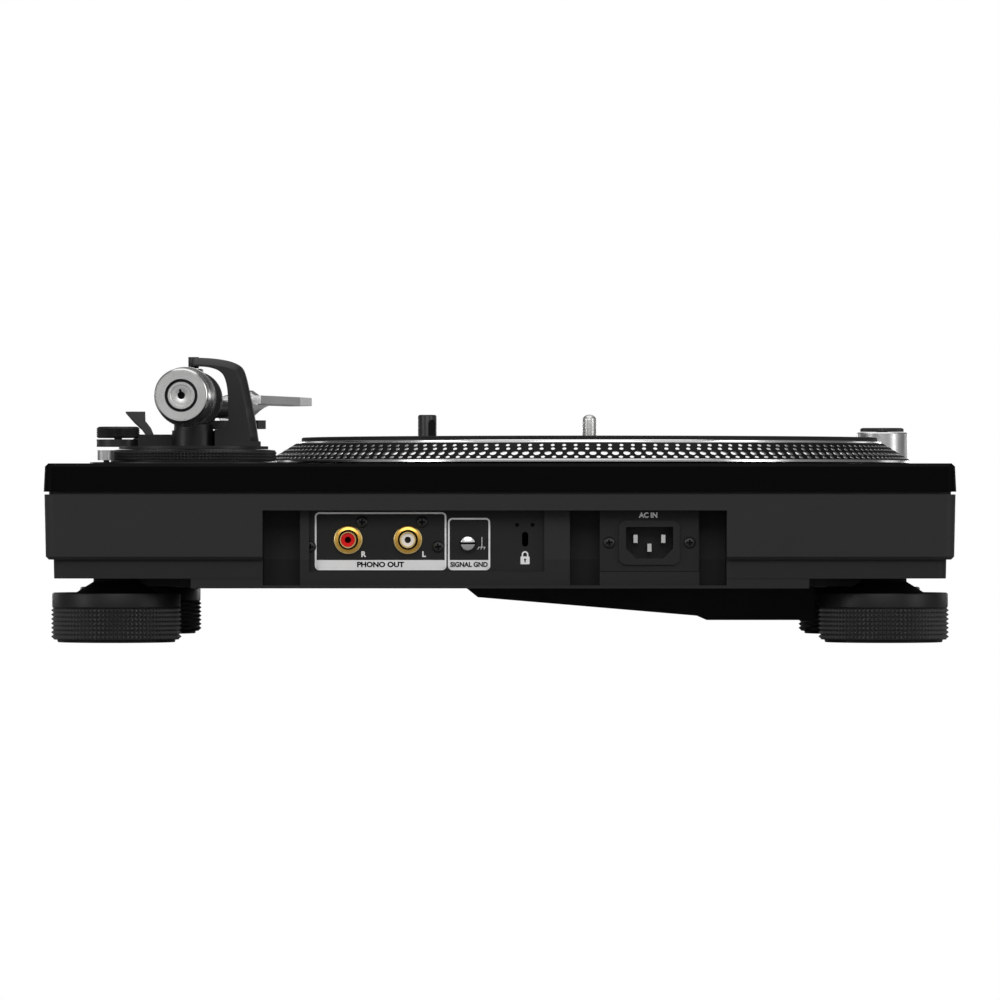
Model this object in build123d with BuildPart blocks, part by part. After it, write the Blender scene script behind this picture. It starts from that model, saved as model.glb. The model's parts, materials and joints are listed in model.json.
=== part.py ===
from build123d import *
from math import cos, pi, radians, sin
import os

# Frame: +X to the right as seen from the front, +Y to the rear, +Z up.
# Origin: on the ground, under the middle of the case.

# Case: three stacked layers with small setbacks
CASE_W, CASE_D, CASE_CORNER = 453.0, 353.0, 6.0
TOP_Z, TOP_BOTTOM_Z, TOP_SKIN, TOP_WALL = 89.4, 75.3, 5.0, 12.0
TOP_TAPER, TOP_EDGE = 2.8, 1.6
GROOVE_Z, GROOVE_IN = 74.0, 2.5
MID_BOTTOM_Z, MID_IN, MID_TAPER, MID_EDGE = 41.6, 1.0, 1.2, 1.5
WALL, DECK_BOTTOM_Z = 8.0, 70.0
BASE_IN, BASE_RIM_Z, BASE_Z, FLOOR = 4.7, 32.2, 27.3, 4.0

# Rear recess with its panels
RECESS_X0, RECESS_X1, RECESS_TOP_Z, RECESS_LIP_Z = -112.5, 117.8, 66.05, 28.8
BLOCK_Y0, POCKET_Y, FACE_Y, PANEL_Y = 140.5, 146.5, 165.5, 162.5
TERMINAL_X0, TERMINAL_X1, MAINS_X0, MAINS_X1 = -34.7, 99.4, -99.0, -49.5
TERMINAL_WINDOW = (-22.0, 94.9, 35.5)
TERMINAL_SEAT, PANEL_T = (-26.0, 99.0, 34.5, 68.0), 2.0
MAINS_WINDOW = (-96.5, -52.0, 37.5, 63.0)
PANEL_GAP = 0.2

# Sockets
PHONO_X, PHONO_Z = (75.5, 45.8), 51.4
PHONO_SHELL_R, PHONO_SHELL_IN_R, PHONO_FLANGE_R, PHONO_REACH = 4.15, 3.35, 7.3, 9.0
PHONO_INSULATOR_R, PHONO_HOLE_R, PHONO_BODY_R, PHONO_BODY_L = 3.3, 1.6, 5.0, 12.0
GROUND_X, GROUND_Z, GROUND_R = 16.0, 49.7, 3.7
LOCK_SLOT_X, LOCK_SLOT_Z, LOCK_SLOT_W, LOCK_SLOT_H = -12.5, 51.7, 3.1, 7.3
TERMINAL_SCREWS = ((68.6, 60.3), (38.8, 60.3), (30.8, 48.0), (94.4, 48.0))
INLET_X, INLET_Z, INLET_W, INLET_H, INLET_R = -74.3, 50.0, 30.3, 22.0, 3.8
CAVITY_W, CAVITY_H, CAVITY_DEPTH, CAVITY_CUT = 23.4, 15.7, 16.0, 5.0
PIN_W, PIN_H, PIN_L, PIN_PITCH, PIN_UP, EARTH_DOWN = 2.0, 4.0, 14.0, 6.9, 1.9, 2.5
MAINS_SCREW_PITCH, SCREW_R, SCREW_HEAD_T, SCREW_SHANK_R = 40.0, 3.0, 1.4, 1.4

# Platter and drive
PLATTER_X, PLATTER_Y = -46.3, 0.0
PLATTER_R, PLATTER_BOTTOM_Z, RIM_Z, SLOPE_TOP_Z, DECK_Z = 166.0, 90.2, 91.7, 100.2, 101.4
SLOPE_TOP_R, DECK_R, RIM_WALL, DECK_T = 152.0, 151.0, 9.0, 5.5
MAT_R, MAT_Z, MAT_HOLE_R = 149.0, 103.4, 4.0
WELL_R, HUB_R, HUB_Z = 118.0, 17.0, 90.0
MAGNET_R0, MAGNET_R1, MAGNET_Z = 78.0, 91.0, 82.0
STATOR_R0, STATOR_R1, STATOR_T, COIL_R, COIL_TOP_Z, COILS = 30.0, 73.0, 1.8, 9.0, 84.0, 9
SPINDLE_R, SPINDLE_TOP_Z, SHAFT_R, SHAFT_Z, SHOULDER_R = 3.575, 115.4, 6.0, 46.5, 9.0
SHOULDER_Z, SHAFT_TOP_Z, RUNNING_GAP = 86.0, 96.5, 0.05
PIN_NECK_R, PIN_START_Z, PLATTER_BORE_R = 3.4, 103.5, 3.68
BEARING_R, BEARING_FLANGE_R, BEARING_FLANGE_T, BEARING_Z, BEARING_TOP_Z = 14.0, 24.0, 3.0, 43.5, 85.5

# Controls on the top panel
BUTTON_GAP = 0.3
START_X, START_Y, START_SIZE, START_TOP_Z = -199.0, -152.0, 26.0, 91.0
SPEED_X, SPEED_Y, SPEED_W, SPEED_D = (-170.0, -149.0), -156.0, 16.0, 9.0
SMALL_TOP_Z, BUTTON_H = 90.6, 8.6
TEMPO_X, TEMPO_Y, TEMPO_TRAVEL, TEMPO_PLATE_W, TEMPO_PLATE_L = 199.0, -78.0, 100.0, 27.0, 128.0
TEMPO_SLOT_W, TEMPO_KNOB = 4.0, (12.0, 24.0, 7.0)
TEMPO_PLATE_T, FADER_W, FADER_L, FADER_Z0, FADER_Z1 = 0.6, 13.0, 120.0, 76.5, 84.4
TEMPO_BUTTON_X, TEMPO_BUTTON_Y, TEMPO_BUTTON_W, TEMPO_BUTTON_D = 176.0, (-132.0, -78.0), 11.0, 6.0
LAMP_X, LAMP_Y, LAMP_R, LAMP_TOP_Z, LAMP_BOTTOM_Z = 39.1, -156.0, 5.0, 117.0, 66.5
POD_X, POD_Y, POD_R, POD_TOP_Z = -202.7, -100.0, 13.5, 107.0
DIAL_R, DIAL_Z, DIAL_TOP_Z, DIAL_STEM_R, DIAL_STEM_L = 11.5, 107.3, 109.4, 3.0, 10.0
WINDOW_W, WINDOW_H, WINDOW_T, WINDOW_Z = 9.0, 7.0, 2.0, 97.5
ADAPTER_X, ADAPTER_Y, ADAPTER_R, ADAPTER_DEPTH = -196.0, 148.0, 20.0, 3.0

# Tonearm: pivot, angles and heights
PIVOT_X, PIVOT_Y, PIVOT_Z = 155.9, 73.0, 122.4
ARM_SLOPE, ARM_IN, SHELL_IN = 1.0, 3.2, 32.5
MOUNT_R, MOUNT_T, SLEEVE_R0, SLEEVE_R1, SLEEVE_Z = 52.6, 1.0, 26.3, 30.0, 76.0
RING_R, RING_Z0, RING_Z1 = 42.4, 90.7, 96.7
STEM_R, BASE_R, BASE_PLATE_Z0, BASE_PLATE_Z1 = 26.2, 38.0, 97.0, 98.5
HOUSING_R, HOUSING_Z, COLLAR_R, COLLAR_Z = 11.0, 106.6, 10.0, 109.6
BLOCK_X0, BLOCK_X1, ARM_BLOCK_Y0, ARM_BLOCK_Y1, BLOCK_Z = 160.0, 187.0, 30.0, 66.0, 104.6
PILLAR_X0, PILLAR_X1, PILLAR_Y0, PILLAR_Y1, PILLAR_FOOT_Z = 122.0, 144.8, 65.5, 83.0, 101.0
ARCH_BOSS_R, ARCH_BOSS_Z, ARCH_BOSS_UNDER_Z, ARCH_CHAMFER = 2.7, 143.9, 138.2, 3.5
ARCH_OUTSIDE = (
    (122.9, 101.0),
    (124.8, 113.4),
    (127.3, 125.7),
    (129.4, 134.6),
    (131.4, 138.7),
    (134.7, 140.8),
    (141.2, 142.5),
    (148.5, 143.3),
    (155.9, 143.5),
)
ARCH_INSIDE = (
    (155.9, 139.2),
    (151.0, 139.1),
    (144.4, 137.6),
    (141.2, 135.5),
    (139.2, 131.4),
    (138.2, 124.9),
    (137.6, 113.4),
)
ARCH_FOOT_BLEND = ((139.3, 109.2), (144.8, 107.0))
PIVOT_PIN_R, GIMBAL_R, GIMBAL_IN_R, GIMBAL_T, GIMBAL_BOTTOM_Z, GIMBAL_TOP_Z = 1.2, 14.5, 10.4, 9.0, 110.0, 137.8
SKATE_X, SKATE_Y, SKATE_R, SKATE_Z0, SKATE_Z1 = 194.8, 62.0, 11.1, 102.8, 108.6
SKATE_BASE_Z0, SKATE_BASE_Z1, SKATE_BASE_R, SKATE_PIN_R = 98.3, 102.1, 11.0, 2.0
CUE_X, CUE_Y, CUE_Z, CUE_LEAN, CUE_HUB_R, CUE_HUB_W, CUE_PIN_R = 178.5, 38.0, 101.5, 20.0, 2.8, 4.4, 1.0
CUE_OUTLINE = ((-1.6, 1), (1.6, 1), (5.4, 6.5), (9.5, 10.5), (13.8, 15.6), (3.8, 15.6), (3.6, 10.5), (0.6, 6.5))
LIFT_R0, LIFT_R1, LIFT_Z0, LIFT_Z1, LIFT_POST_R, LIFT_POST_ANGLE = 39.5, 44.5, 107.5, 112.0, 2.4, -12.0
LIFT_ANGLE0, LIFT_ANGLE1 = -15.0, 54.0
REST_R, REST_LENGTH, REST_LEDGE_Z, REST_WALL_Z, REST_Y0 = 55.0, 9.0, 116.0, 121.0, 10.0
CLIP_HINGE_OUT, CLIP_HINGE_Z, CLIP_OPEN = 7.8, 121.6, 100.0
CLIP_OUTLINE = ((1.6, 0), (1.6, 7.0), (-15.6, 7.0), (-15.6, 0.5), (-13.8, 0.5), (-13.8, 5.2), (-1.6, 5.2), (-1.6, 0))
LOCK_X, LOCK_Y, LOCK_W, LOCK_L, LOCK_Z0, LOCK_Z1, LOCK_PIN_R = 199.1, 95.0, 7.6, 22.0, 91.3, 96.3, 1.5
TUBE_R, STUB_R, STUB_END = 4.85, 5.0, 56.0
HUB_BLOCK_R, HUB_BLOCK_L = 8.6, 14.0
WEIGHT_R, WEIGHT_START, WEIGHT_END, WEIGHT_BORE_R, WEIGHT_HUB_R = 15.2, 40.0, 66.0, 7.2, 9.0
WEIGHT_BODY_R, WEIGHT_BODY_START, WEIGHT_TAPER = 14.9, 46.0, 3.9
WEIGHT_EDGE_R, WEIGHT_EDGE, WEIGHT_EDGE_TAPER = 13.6, 1.0, 35.0
WEIGHT_GROOVE_R, WEIGHT_GROOVE_D, DIAL_RING_START, DIAL_RING_END, DIAL_RING_R = 8.0, 3.0, 34.5, 39.7, 15.2
BUSH_R, BUSH_START, BUSH_END, BUSH_HOLE_R = 7.1, 41.0, 65.6, 1.9
TUBE_BEND_1, TUBE_BEND_2 = (151.8, 0.0), (168.8, -67.1)
TUBE_BEND_R1, TUBE_BEND_R2 = 90.0, 55.0
SHELL_X, SHELL_Y = 155.4, -88.2
COLLAR_START, COLLAR_END, COLLAR_OUT_R, COLLAR_BORE_R = 20.0, 33.0, 7.8, 5.0
NECK_END, SHELL_START, SHELL_END, SHELL_W, SHELL_TIP_W = 48.0, 38.0, 89.7, 18.0, 14.0
SHELL_Z0, SHELL_Z1, CARTRIDGE_PITCH, CARTRIDGE_SLOT_W, CARTRIDGE_SLOT_L = 3.4, 7.8, 12.7, 2.6, 12.0
CARTRIDGE_S = 68.0

# Feet
FOOT_X, FOOT_Y = 192.3, 131.5
FOOT_LIP_R, FOOT_LIP_Z, KNURL_R, KNURL_Z, FOOT_R, FOOT_TOP_Z = 29.5, 1.3, 32.7, 17.2, 32.2, 24.8
FOOT_BORE_R, FOOT_BORE_Z, STUD_R, STUD_TOP_Z = 4.05, 17.0, 5.0, 60.0
DOME_R, NECK_R, DOME_TOP_Z, NECK_TOP_Z = 20.0, 11.5, 30.3, 34.0
WELL_OUT_R, PLINTH_X, DISH_R0, DISH_R1, DISH_Z = 55.6, 196.0, 36.0, 31.0, 34.2
INSERT_R = 9.0

# Inside and underneath
PAN_Y0, PAN_Y1, PAN_T, PAN_FLANGE = -66.0, 71.0, 2.5, 6.0
PAN_OUTLINE = ((18.3, 27.3), (11.3, 21.7), (-100.1, 12.3), (-105.2, 10.1), (-160.0, 10.1), (-160.0, 27.3))
BOARD_X0, BOARD_X1, BOARD_Y0, BOARD_Y1, BOARD_Z, BOARD_T = 32.0, 168.0, -80.0, 36.0, 44.0, 1.6
SUPPLY_X, SUPPLY_Y, SUPPLY_W, SUPPLY_D, SUPPLY_H = -132.3, 0.0, 48.0, 110.0, 16.0

os.makedirs("parts", exist_ok=True)


def save(builder, name):
    """Label a finished piece and write its STEP file."""
    builder.part.label = name
    export_step(builder.part, f"parts/{name}.step")


def inward(distance, angle, across=0.0):
    """A point in the arm plane: along a heading turned inward from the front, then across it."""
    turn = radians(angle)
    return (-distance * sin(turn) + across * cos(turn), -distance * cos(turn) - across * sin(turn))


def around_pivot(distance, angle):
    """Row X, Y of a point at a distance from the arm pivot, turned inward from straight ahead."""
    dx, dy = inward(distance, angle)
    return (PIVOT_X + dx, PIVOT_Y + dy)


# The arm plane holds the pivot and slopes down to the front
slope = radians(ARM_SLOPE)
ARM_PLANE = Plane(origin=(PIVOT_X, PIVOT_Y, PIVOT_Z), x_dir=(1, 0, 0), z_dir=(0, -sin(slope), cos(slope)))
STUB_X, STUB_Y = inward(-1.0, ARM_IN)
REAR_AXIS = ARM_PLANE.from_local_coords(Vector(STUB_X, STUB_Y, 0)) - ARM_PLANE.origin
SHELL_AX, SHELL_AY = inward(1.0, SHELL_IN)
SHELL_ORIGIN = ARM_PLANE.from_local_coords(Vector(SHELL_X - PIVOT_X, SHELL_Y - PIVOT_Y, 0))
SHELL_AXIS = ARM_PLANE.from_local_coords(Vector(SHELL_AX, SHELL_AY, 0)) - ARM_PLANE.origin


def rear_plane(distance):
    """Plane across the arm's rear stub, at a distance behind the pivot, its normal to the rear."""
    origin = Vector(ARM_PLANE.origin) + REAR_AXIS * distance
    return Plane(origin=origin, x_dir=(-cos(radians(ARM_IN)), sin(radians(ARM_IN)), 0), z_dir=REAR_AXIS)


def shell_plane(distance):
    """Plane across the headshell's axis, its normal towards the tip."""
    side = (cos(radians(SHELL_IN)), -sin(radians(SHELL_IN)), 0)
    return Plane(origin=SHELL_ORIGIN + SHELL_AXIS * distance, x_dir=side, z_dir=SHELL_AXIS)


def ring_sketch(outer, inner):
    """An annulus in the sketch that is open."""
    Circle(outer)
    Circle(inner, mode=Mode.SUBTRACT)


def span(x0, x1, y0, y1, z0, z1, mode=Mode.ADD):
    """A box between two corners, in the part that is open."""
    with Locations(((x0 + x1) / 2, (y0 + y1) / 2, (z0 + z1) / 2)):
        Box(x1 - x0, y1 - y0, z1 - z0, mode=mode)


def upright(x, y, radius, z0, z1, mode=Mode.ADD):
    """A vertical cylinder between two heights, in the part that is open."""
    with Locations((x, y, (z0 + z1) / 2)):
        Cylinder(radius, z1 - z0, mode=mode)


FOOT_PLACES = {
    "front_left": (-FOOT_X, -FOOT_Y),
    "front_right": (FOOT_X, -FOOT_Y),
    "rear_left": (-FOOT_X, FOOT_Y),
    "rear_right": (FOOT_X, FOOT_Y),
}
PITCH_SLOT = TEMPO_TRAVEL + TEMPO_SLOT_W + 2.0

# ---------------------------------------------------------------- case

with BuildPart() as top_panel:
    with BuildSketch(Plane.XY.offset(TOP_BOTTOM_Z)):
        RectangleRounded(CASE_W, CASE_D, CASE_CORNER)
    extrude(amount=TOP_Z - TOP_BOTTOM_Z, taper=TOP_TAPER)
    chamfer(top_panel.faces().sort_by(Axis.Z)[-1].edges(), TOP_EDGE)
    with BuildSketch(Plane.XY.offset(TOP_BOTTOM_Z)):
        RectangleRounded(CASE_W - 2 * TOP_WALL, CASE_D - 2 * TOP_WALL, CASE_CORNER)
    extrude(amount=TOP_Z - TOP_BOTTOM_Z - TOP_SKIN, mode=Mode.SUBTRACT)
    with BuildSketch(Plane.XY.offset(TOP_Z)):
        with Locations((PLATTER_X, PLATTER_Y)):
            Circle(WELL_R)
        with Locations((PIVOT_X, PIVOT_Y)):
            Circle(SLEEVE_R1 + BUTTON_GAP)
        with Locations((LAMP_X, LAMP_Y)):
            Circle(LAMP_R + BUTTON_GAP)
        with Locations((START_X, START_Y)):
            Rectangle(START_SIZE + 2 * BUTTON_GAP, START_SIZE + 2 * BUTTON_GAP)
        with Locations(*[(x, SPEED_Y) for x in SPEED_X]):
            Rectangle(SPEED_W + 2 * BUTTON_GAP, SPEED_D + 2 * BUTTON_GAP)
        with Locations(*[(TEMPO_BUTTON_X, y) for y in TEMPO_BUTTON_Y]):
            Rectangle(TEMPO_BUTTON_W + 2 * BUTTON_GAP, TEMPO_BUTTON_D + 2 * BUTTON_GAP)
        with Locations((TEMPO_X, TEMPO_Y)):
            Rectangle(TEMPO_SLOT_W + 2, PITCH_SLOT + 2)
    extrude(amount=TOP_BOTTOM_Z - TOP_Z, mode=Mode.SUBTRACT)
    upright(ADAPTER_X, ADAPTER_Y, ADAPTER_R, TOP_Z - ADAPTER_DEPTH, TOP_Z, Mode.SUBTRACT)
save(top_panel, "top_panel")


def cut_recess(bottom, top):
    """Cut the rear recess: shallow faces for the panels, deep pockets between them."""
    rear = CASE_D / 2 + 1
    for x0, x1, y0 in (
        (RECESS_X0, MAINS_X0, POCKET_Y),
        (MAINS_X0, MAINS_X1, FACE_Y),
        (MAINS_X1, TERMINAL_X0, POCKET_Y),
        (TERMINAL_X0, TERMINAL_X1, FACE_Y),
        (TERMINAL_X1, RECESS_X1, POCKET_Y),
    ):
        span(x0, x1, y0, rear, bottom, top, Mode.SUBTRACT)


def cut_panel_openings():
    """Cut the windows and seats of the terminal panel and the mains panel."""
    x0, x1, z0 = TERMINAL_WINDOW
    span(x0, x1, PANEL_Y, FACE_Y + 1, z0, RECESS_TOP_Z, Mode.SUBTRACT)
    x0, x1, z0, z1 = TERMINAL_SEAT
    span(x0, x1, BLOCK_Y0 - 1, PANEL_Y + SCREW_HEAD_T + PANEL_GAP, z0, z1, Mode.SUBTRACT)
    span(MAINS_X0, MAINS_X1, PANEL_Y, FACE_Y + 1, z0 + 1, RECESS_TOP_Z, Mode.SUBTRACT)
    x0, x1, z0, z1 = MAINS_WINDOW
    span(x0, x1, BLOCK_Y0 - 1, PANEL_Y + 1, z0, z1, Mode.SUBTRACT)


with BuildPart() as mid_chassis:
    with BuildSketch(Plane.XY.offset(MID_BOTTOM_Z)):
        RectangleRounded(CASE_W - 2 * MID_IN, CASE_D - 2 * MID_IN, CASE_CORNER)
    extrude(amount=GROOVE_Z - MID_BOTTOM_Z, taper=-MID_TAPER)
    chamfer(mid_chassis.faces().sort_by(Axis.Z)[0].edges(), MID_EDGE)
    with BuildSketch(Plane.XY.offset(GROOVE_Z)):
        RectangleRounded(CASE_W - 2 * GROOVE_IN, CASE_D - 2 * GROOVE_IN, CASE_CORNER)
    extrude(amount=TOP_BOTTOM_Z - GROOVE_Z)
    with BuildSketch(Plane.XY.offset(MID_BOTTOM_Z)):
        RectangleRounded(CASE_W - 2 * (MID_IN + WALL), CASE_D - 2 * (MID_IN + WALL), CASE_CORNER)
        with Locations(((RECESS_X0 + RECESS_X1) / 2, (BLOCK_Y0 + CASE_D / 2) / 2)):
            Rectangle(RECESS_X1 - RECESS_X0 + 2 * WALL, CASE_D / 2 - BLOCK_Y0, mode=Mode.SUBTRACT)
    extrude(amount=DECK_BOTTOM_Z - MID_BOTTOM_Z, mode=Mode.SUBTRACT)
    cut_recess(MID_BOTTOM_Z - 1, RECESS_TOP_Z)
    cut_panel_openings()
    with BuildSketch(Plane.XY.offset(TOP_BOTTOM_Z)):
        with Locations((PLATTER_X, PLATTER_Y)):
            Circle(BEARING_R)
        with Locations((LAMP_X, LAMP_Y)):
            Circle(LAMP_R + BUTTON_GAP)
        with Locations((PIVOT_X, PIVOT_Y)):
            Circle(SLEEVE_R1 + BUTTON_GAP)
    extrude(amount=DECK_BOTTOM_Z - TOP_BOTTOM_Z, mode=Mode.SUBTRACT)
save(mid_chassis, "mid_chassis")

with BuildPart() as bottom_base:
    with BuildSketch(Plane.XY.offset(MID_BOTTOM_Z)):
        RectangleRounded(CASE_W - 2 * BASE_IN, CASE_D - 2 * BASE_IN, CASE_CORNER)
    extrude(amount=BASE_RIM_Z - MID_BOTTOM_Z, taper=MID_TAPER)
    with BuildSketch(Plane.XY.offset(BASE_Z)):
        RectangleRounded(2 * PLINTH_X, CASE_D - 2 * BASE_IN - 1, CASE_CORNER)
        with Locations(*FOOT_PLACES.values()):
            Circle(WELL_OUT_R, mode=Mode.SUBTRACT)
    extrude(amount=BASE_RIM_Z - BASE_Z)
    with Locations(*[(x, y, (BASE_RIM_Z + DISH_Z) / 2) for x, y in FOOT_PLACES.values()]):
        Cone(DISH_R0, DISH_R1, DISH_Z - BASE_RIM_Z, mode=Mode.SUBTRACT)
    for floor_z, half_x, boss_r in (
        (BASE_Z + FLOOR, PLINTH_X - WALL, WELL_OUT_R + FLOOR),
        (BASE_RIM_Z + FLOOR, CASE_W / 2 - BASE_IN - WALL, DISH_R0 / 2),
    ):
        with BuildSketch(Plane.XY.offset(floor_z)):
            Rectangle(2 * half_x, CASE_D - 2 * (BASE_IN + WALL))
            with Locations(*FOOT_PLACES.values()):
                Circle(boss_r, mode=Mode.SUBTRACT)
            with Locations(((RECESS_X0 + RECESS_X1) / 2, (BLOCK_Y0 + CASE_D / 2) / 2)):
                Rectangle(RECESS_X1 - RECESS_X0 + 2 * WALL, CASE_D / 2 - BLOCK_Y0, mode=Mode.SUBTRACT)
        extrude(amount=MID_BOTTOM_Z - floor_z, mode=Mode.SUBTRACT)
    cut_recess(RECESS_LIP_Z, MID_BOTTOM_Z + 1)
    cut_panel_openings()
    span(PAN_OUTLINE[-1][0] - 0.2, PAN_OUTLINE[0][0] + 0.2, PAN_Y0 - 0.2, PAN_Y1 + 0.2, BASE_Z - 1,
         BASE_Z + FLOOR, Mode.SUBTRACT)
    for x, y in FOOT_PLACES.values():
        upright(x, y, STUD_R + BUTTON_GAP, DISH_Z - 1, MID_BOTTOM_Z, Mode.SUBTRACT)
        upright(x, y, INSERT_R, DISH_Z + 1, MID_BOTTOM_Z, Mode.SUBTRACT)
    for x in (BOARD_X0 + 6, BOARD_X1 - 6):
        for y in (BOARD_Y0 + 6, BOARD_Y1 - 6):
            upright(x, y, 4, BASE_Z + FLOOR, BOARD_Z)
save(bottom_base, "bottom_base")

with BuildPart() as bottom_cover:
    with BuildSketch(Plane.XZ.offset(-PAN_Y1)):
        with BuildLine():
            Polyline(*PAN_OUTLINE, close=True)
        make_face()
    extrude(amount=PAN_Y1 - PAN_Y0)
    span(PAN_OUTLINE[-1][0], PAN_OUTLINE[0][0], PAN_Y0, PAN_Y1, BASE_Z, BASE_Z + FLOOR)
    flange_x0 = PAN_OUTLINE[-1][0] - PAN_FLANGE
    flange_x1 = PAN_OUTLINE[0][0] + PAN_FLANGE
    flange_z = BASE_Z + FLOOR
    span(flange_x0, flange_x1, PAN_Y0 - PAN_FLANGE, PAN_Y1 + PAN_FLANGE, flange_z, flange_z + PAN_T)
    with BuildSketch(Plane.XZ.offset(PAN_T - PAN_Y1)):
        with BuildLine():
            Polyline(
                (PAN_OUTLINE[0][0] - PAN_T, BASE_Z + FLOOR + PAN_T),
                (PAN_OUTLINE[0][0] - PAN_T, PAN_OUTLINE[0][1]),
                (PAN_OUTLINE[1][0] - PAN_T, PAN_OUTLINE[1][1] + PAN_T),
                (PAN_OUTLINE[2][0] - PAN_T, PAN_OUTLINE[2][1] + PAN_T),
                (PAN_OUTLINE[3][0] - PAN_T, PAN_OUTLINE[3][1] + PAN_T),
                (PAN_OUTLINE[4][0] + PAN_T, PAN_OUTLINE[4][1] + PAN_T),
                (PAN_OUTLINE[4][0] + PAN_T, BASE_Z + FLOOR + PAN_T),
                close=True,
            )
        make_face()
    extrude(amount=PAN_Y1 - PAN_Y0 - 2 * PAN_T, mode=Mode.SUBTRACT)
save(bottom_cover, "bottom_cover")

COVER_SCREW_X = (PAN_OUTLINE[-1][0] - PAN_FLANGE / 2, PAN_OUTLINE[0][0] + PAN_FLANGE / 2)
with BuildPart() as cover_screws:
    for x, y in [(x, y) for x in COVER_SCREW_X for y in (PAN_Y0, 0.0, PAN_Y1)]:
        upright(x, y, SCREW_R - 0.5, BASE_Z + FLOOR + PAN_T, BASE_Z + FLOOR + PAN_T + 2)
save(cover_screws, "cover_screws")

with BuildPart() as foot_inserts:
    for x, y in FOOT_PLACES.values():
        upright(x, y, INSERT_R, DISH_Z + 1, MID_BOTTOM_Z + 4)
        upright(x, y, STUD_R + RUNNING_GAP * 2, DISH_Z + 1, MID_BOTTOM_Z + 4, Mode.SUBTRACT)
save(foot_inserts, "foot_inserts")

# ---------------------------------------------------------------- rear panels and sockets


def rear_plane_at(y):
    """Plane facing the rear: sketch X is minus row X, sketch Y is row Z."""
    return Plane(origin=(0, y, 0), x_dir=(-1, 0, 0), z_dir=(0, 1, 0))


with BuildPart() as terminal_panel:
    x0, x1, z0, z1 = TERMINAL_SEAT
    span(x0 + PANEL_GAP, x1 - PANEL_GAP, PANEL_Y - PANEL_T, PANEL_Y, z0 + PANEL_GAP, z1 - PANEL_GAP)
    with BuildSketch(rear_plane_at(PANEL_Y)):
        with Locations(*[(-x, PHONO_Z) for x in PHONO_X]):
            Circle(PHONO_BODY_R)
        with Locations((-LOCK_SLOT_X, LOCK_SLOT_Z)):
            SlotOverall(LOCK_SLOT_H, LOCK_SLOT_W, rotation=90)
        with Locations((-GROUND_X, GROUND_Z)):
            Circle(SCREW_SHANK_R + 0.1)
        with Locations(*[(-x, z) for x, z in TERMINAL_SCREWS]):
            Circle(SCREW_SHANK_R)
    extrude(amount=-PANEL_T, mode=Mode.SUBTRACT)
save(terminal_panel, "terminal_panel")

with BuildPart() as phono_sockets:
    with BuildSketch(rear_plane_at(PANEL_Y)):
        with Locations(*[(-x, PHONO_Z) for x in PHONO_X]):
            Circle(PHONO_FLANGE_R)
    extrude(amount=1.6)
    with BuildSketch(rear_plane_at(PANEL_Y)):
        with Locations(*[(-x, PHONO_Z) for x in PHONO_X]):
            Circle(PHONO_SHELL_R)
    extrude(amount=PHONO_REACH)
    with BuildSketch(rear_plane_at(PANEL_Y)):
        with Locations(*[(-x, PHONO_Z) for x in PHONO_X]):
            Circle(PHONO_BODY_R)
    extrude(amount=-PHONO_BODY_L)
    with BuildSketch(rear_plane_at(PANEL_Y - PHONO_BODY_L + 2)):
        with Locations(*[(-x, PHONO_Z) for x in PHONO_X]):
            Circle(PHONO_SHELL_IN_R)
    extrude(amount=PHONO_BODY_L + PHONO_REACH, mode=Mode.SUBTRACT)
save(phono_sockets, "phono_sockets")


def phono_insulator(x):
    """The plastic core of a phono socket, with the hole for the plug's pin."""
    with BuildPart() as core:
        with BuildSketch(rear_plane_at(PANEL_Y - PHONO_BODY_L + 2)):
            with Locations((-x, PHONO_Z)):
                Circle(PHONO_INSULATOR_R)
        extrude(amount=PHONO_BODY_L + PHONO_REACH - 3)
        with BuildSketch(rear_plane_at(PANEL_Y - PHONO_BODY_L + 5)):
            with Locations((-x, PHONO_Z)):
                Circle(PHONO_HOLE_R)
        extrude(amount=PHONO_BODY_L + PHONO_REACH, mode=Mode.SUBTRACT)
    return core


save(phono_insulator(PHONO_X[0]), "phono_insulator_red")
save(phono_insulator(PHONO_X[1]), "phono_insulator_white")

with BuildPart() as ground_screw:
    with BuildSketch(rear_plane_at(PANEL_Y + 0.6)):
        with Locations((-GROUND_X, GROUND_Z)):
            Circle(GROUND_R)
    extrude(amount=4.0)
    fillet(ground_screw.faces().sort_by(Axis.Y)[-1].edges(), 1.2)
    with BuildSketch(rear_plane_at(PANEL_Y + 4.6)):
        with Locations((-GROUND_X, GROUND_Z)):
            Rectangle(2 * GROUND_R, 1.1)
    extrude(amount=-1.3, mode=Mode.SUBTRACT)
    with BuildSketch(rear_plane_at(PANEL_Y + 0.6)):
        with Locations((-GROUND_X, GROUND_Z)):
            Circle(SCREW_SHANK_R)
    extrude(amount=-9.0)
save(ground_screw, "ground_screw")

with BuildPart() as panel_screws:
    with BuildSketch(rear_plane_at(PANEL_Y)):
        with Locations(*[(-x, z) for x, z in TERMINAL_SCREWS]):
            Circle(SCREW_R)
    extrude(amount=SCREW_HEAD_T)
    with BuildSketch(rear_plane_at(PANEL_Y)):
        with Locations(*[(-x, z) for x, z in TERMINAL_SCREWS]):
            Circle(SCREW_SHANK_R)
    extrude(amount=-6.0)
    with BuildSketch(rear_plane_at(PANEL_Y + PANEL_T)):
        with Locations((-INLET_X, INLET_Z)):
            with Locations((-MAINS_SCREW_PITCH / 2, 0), (MAINS_SCREW_PITCH / 2, 0)):
                Circle(SCREW_R)
    extrude(amount=SCREW_HEAD_T)
save(panel_screws, "panel_screws")

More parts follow.
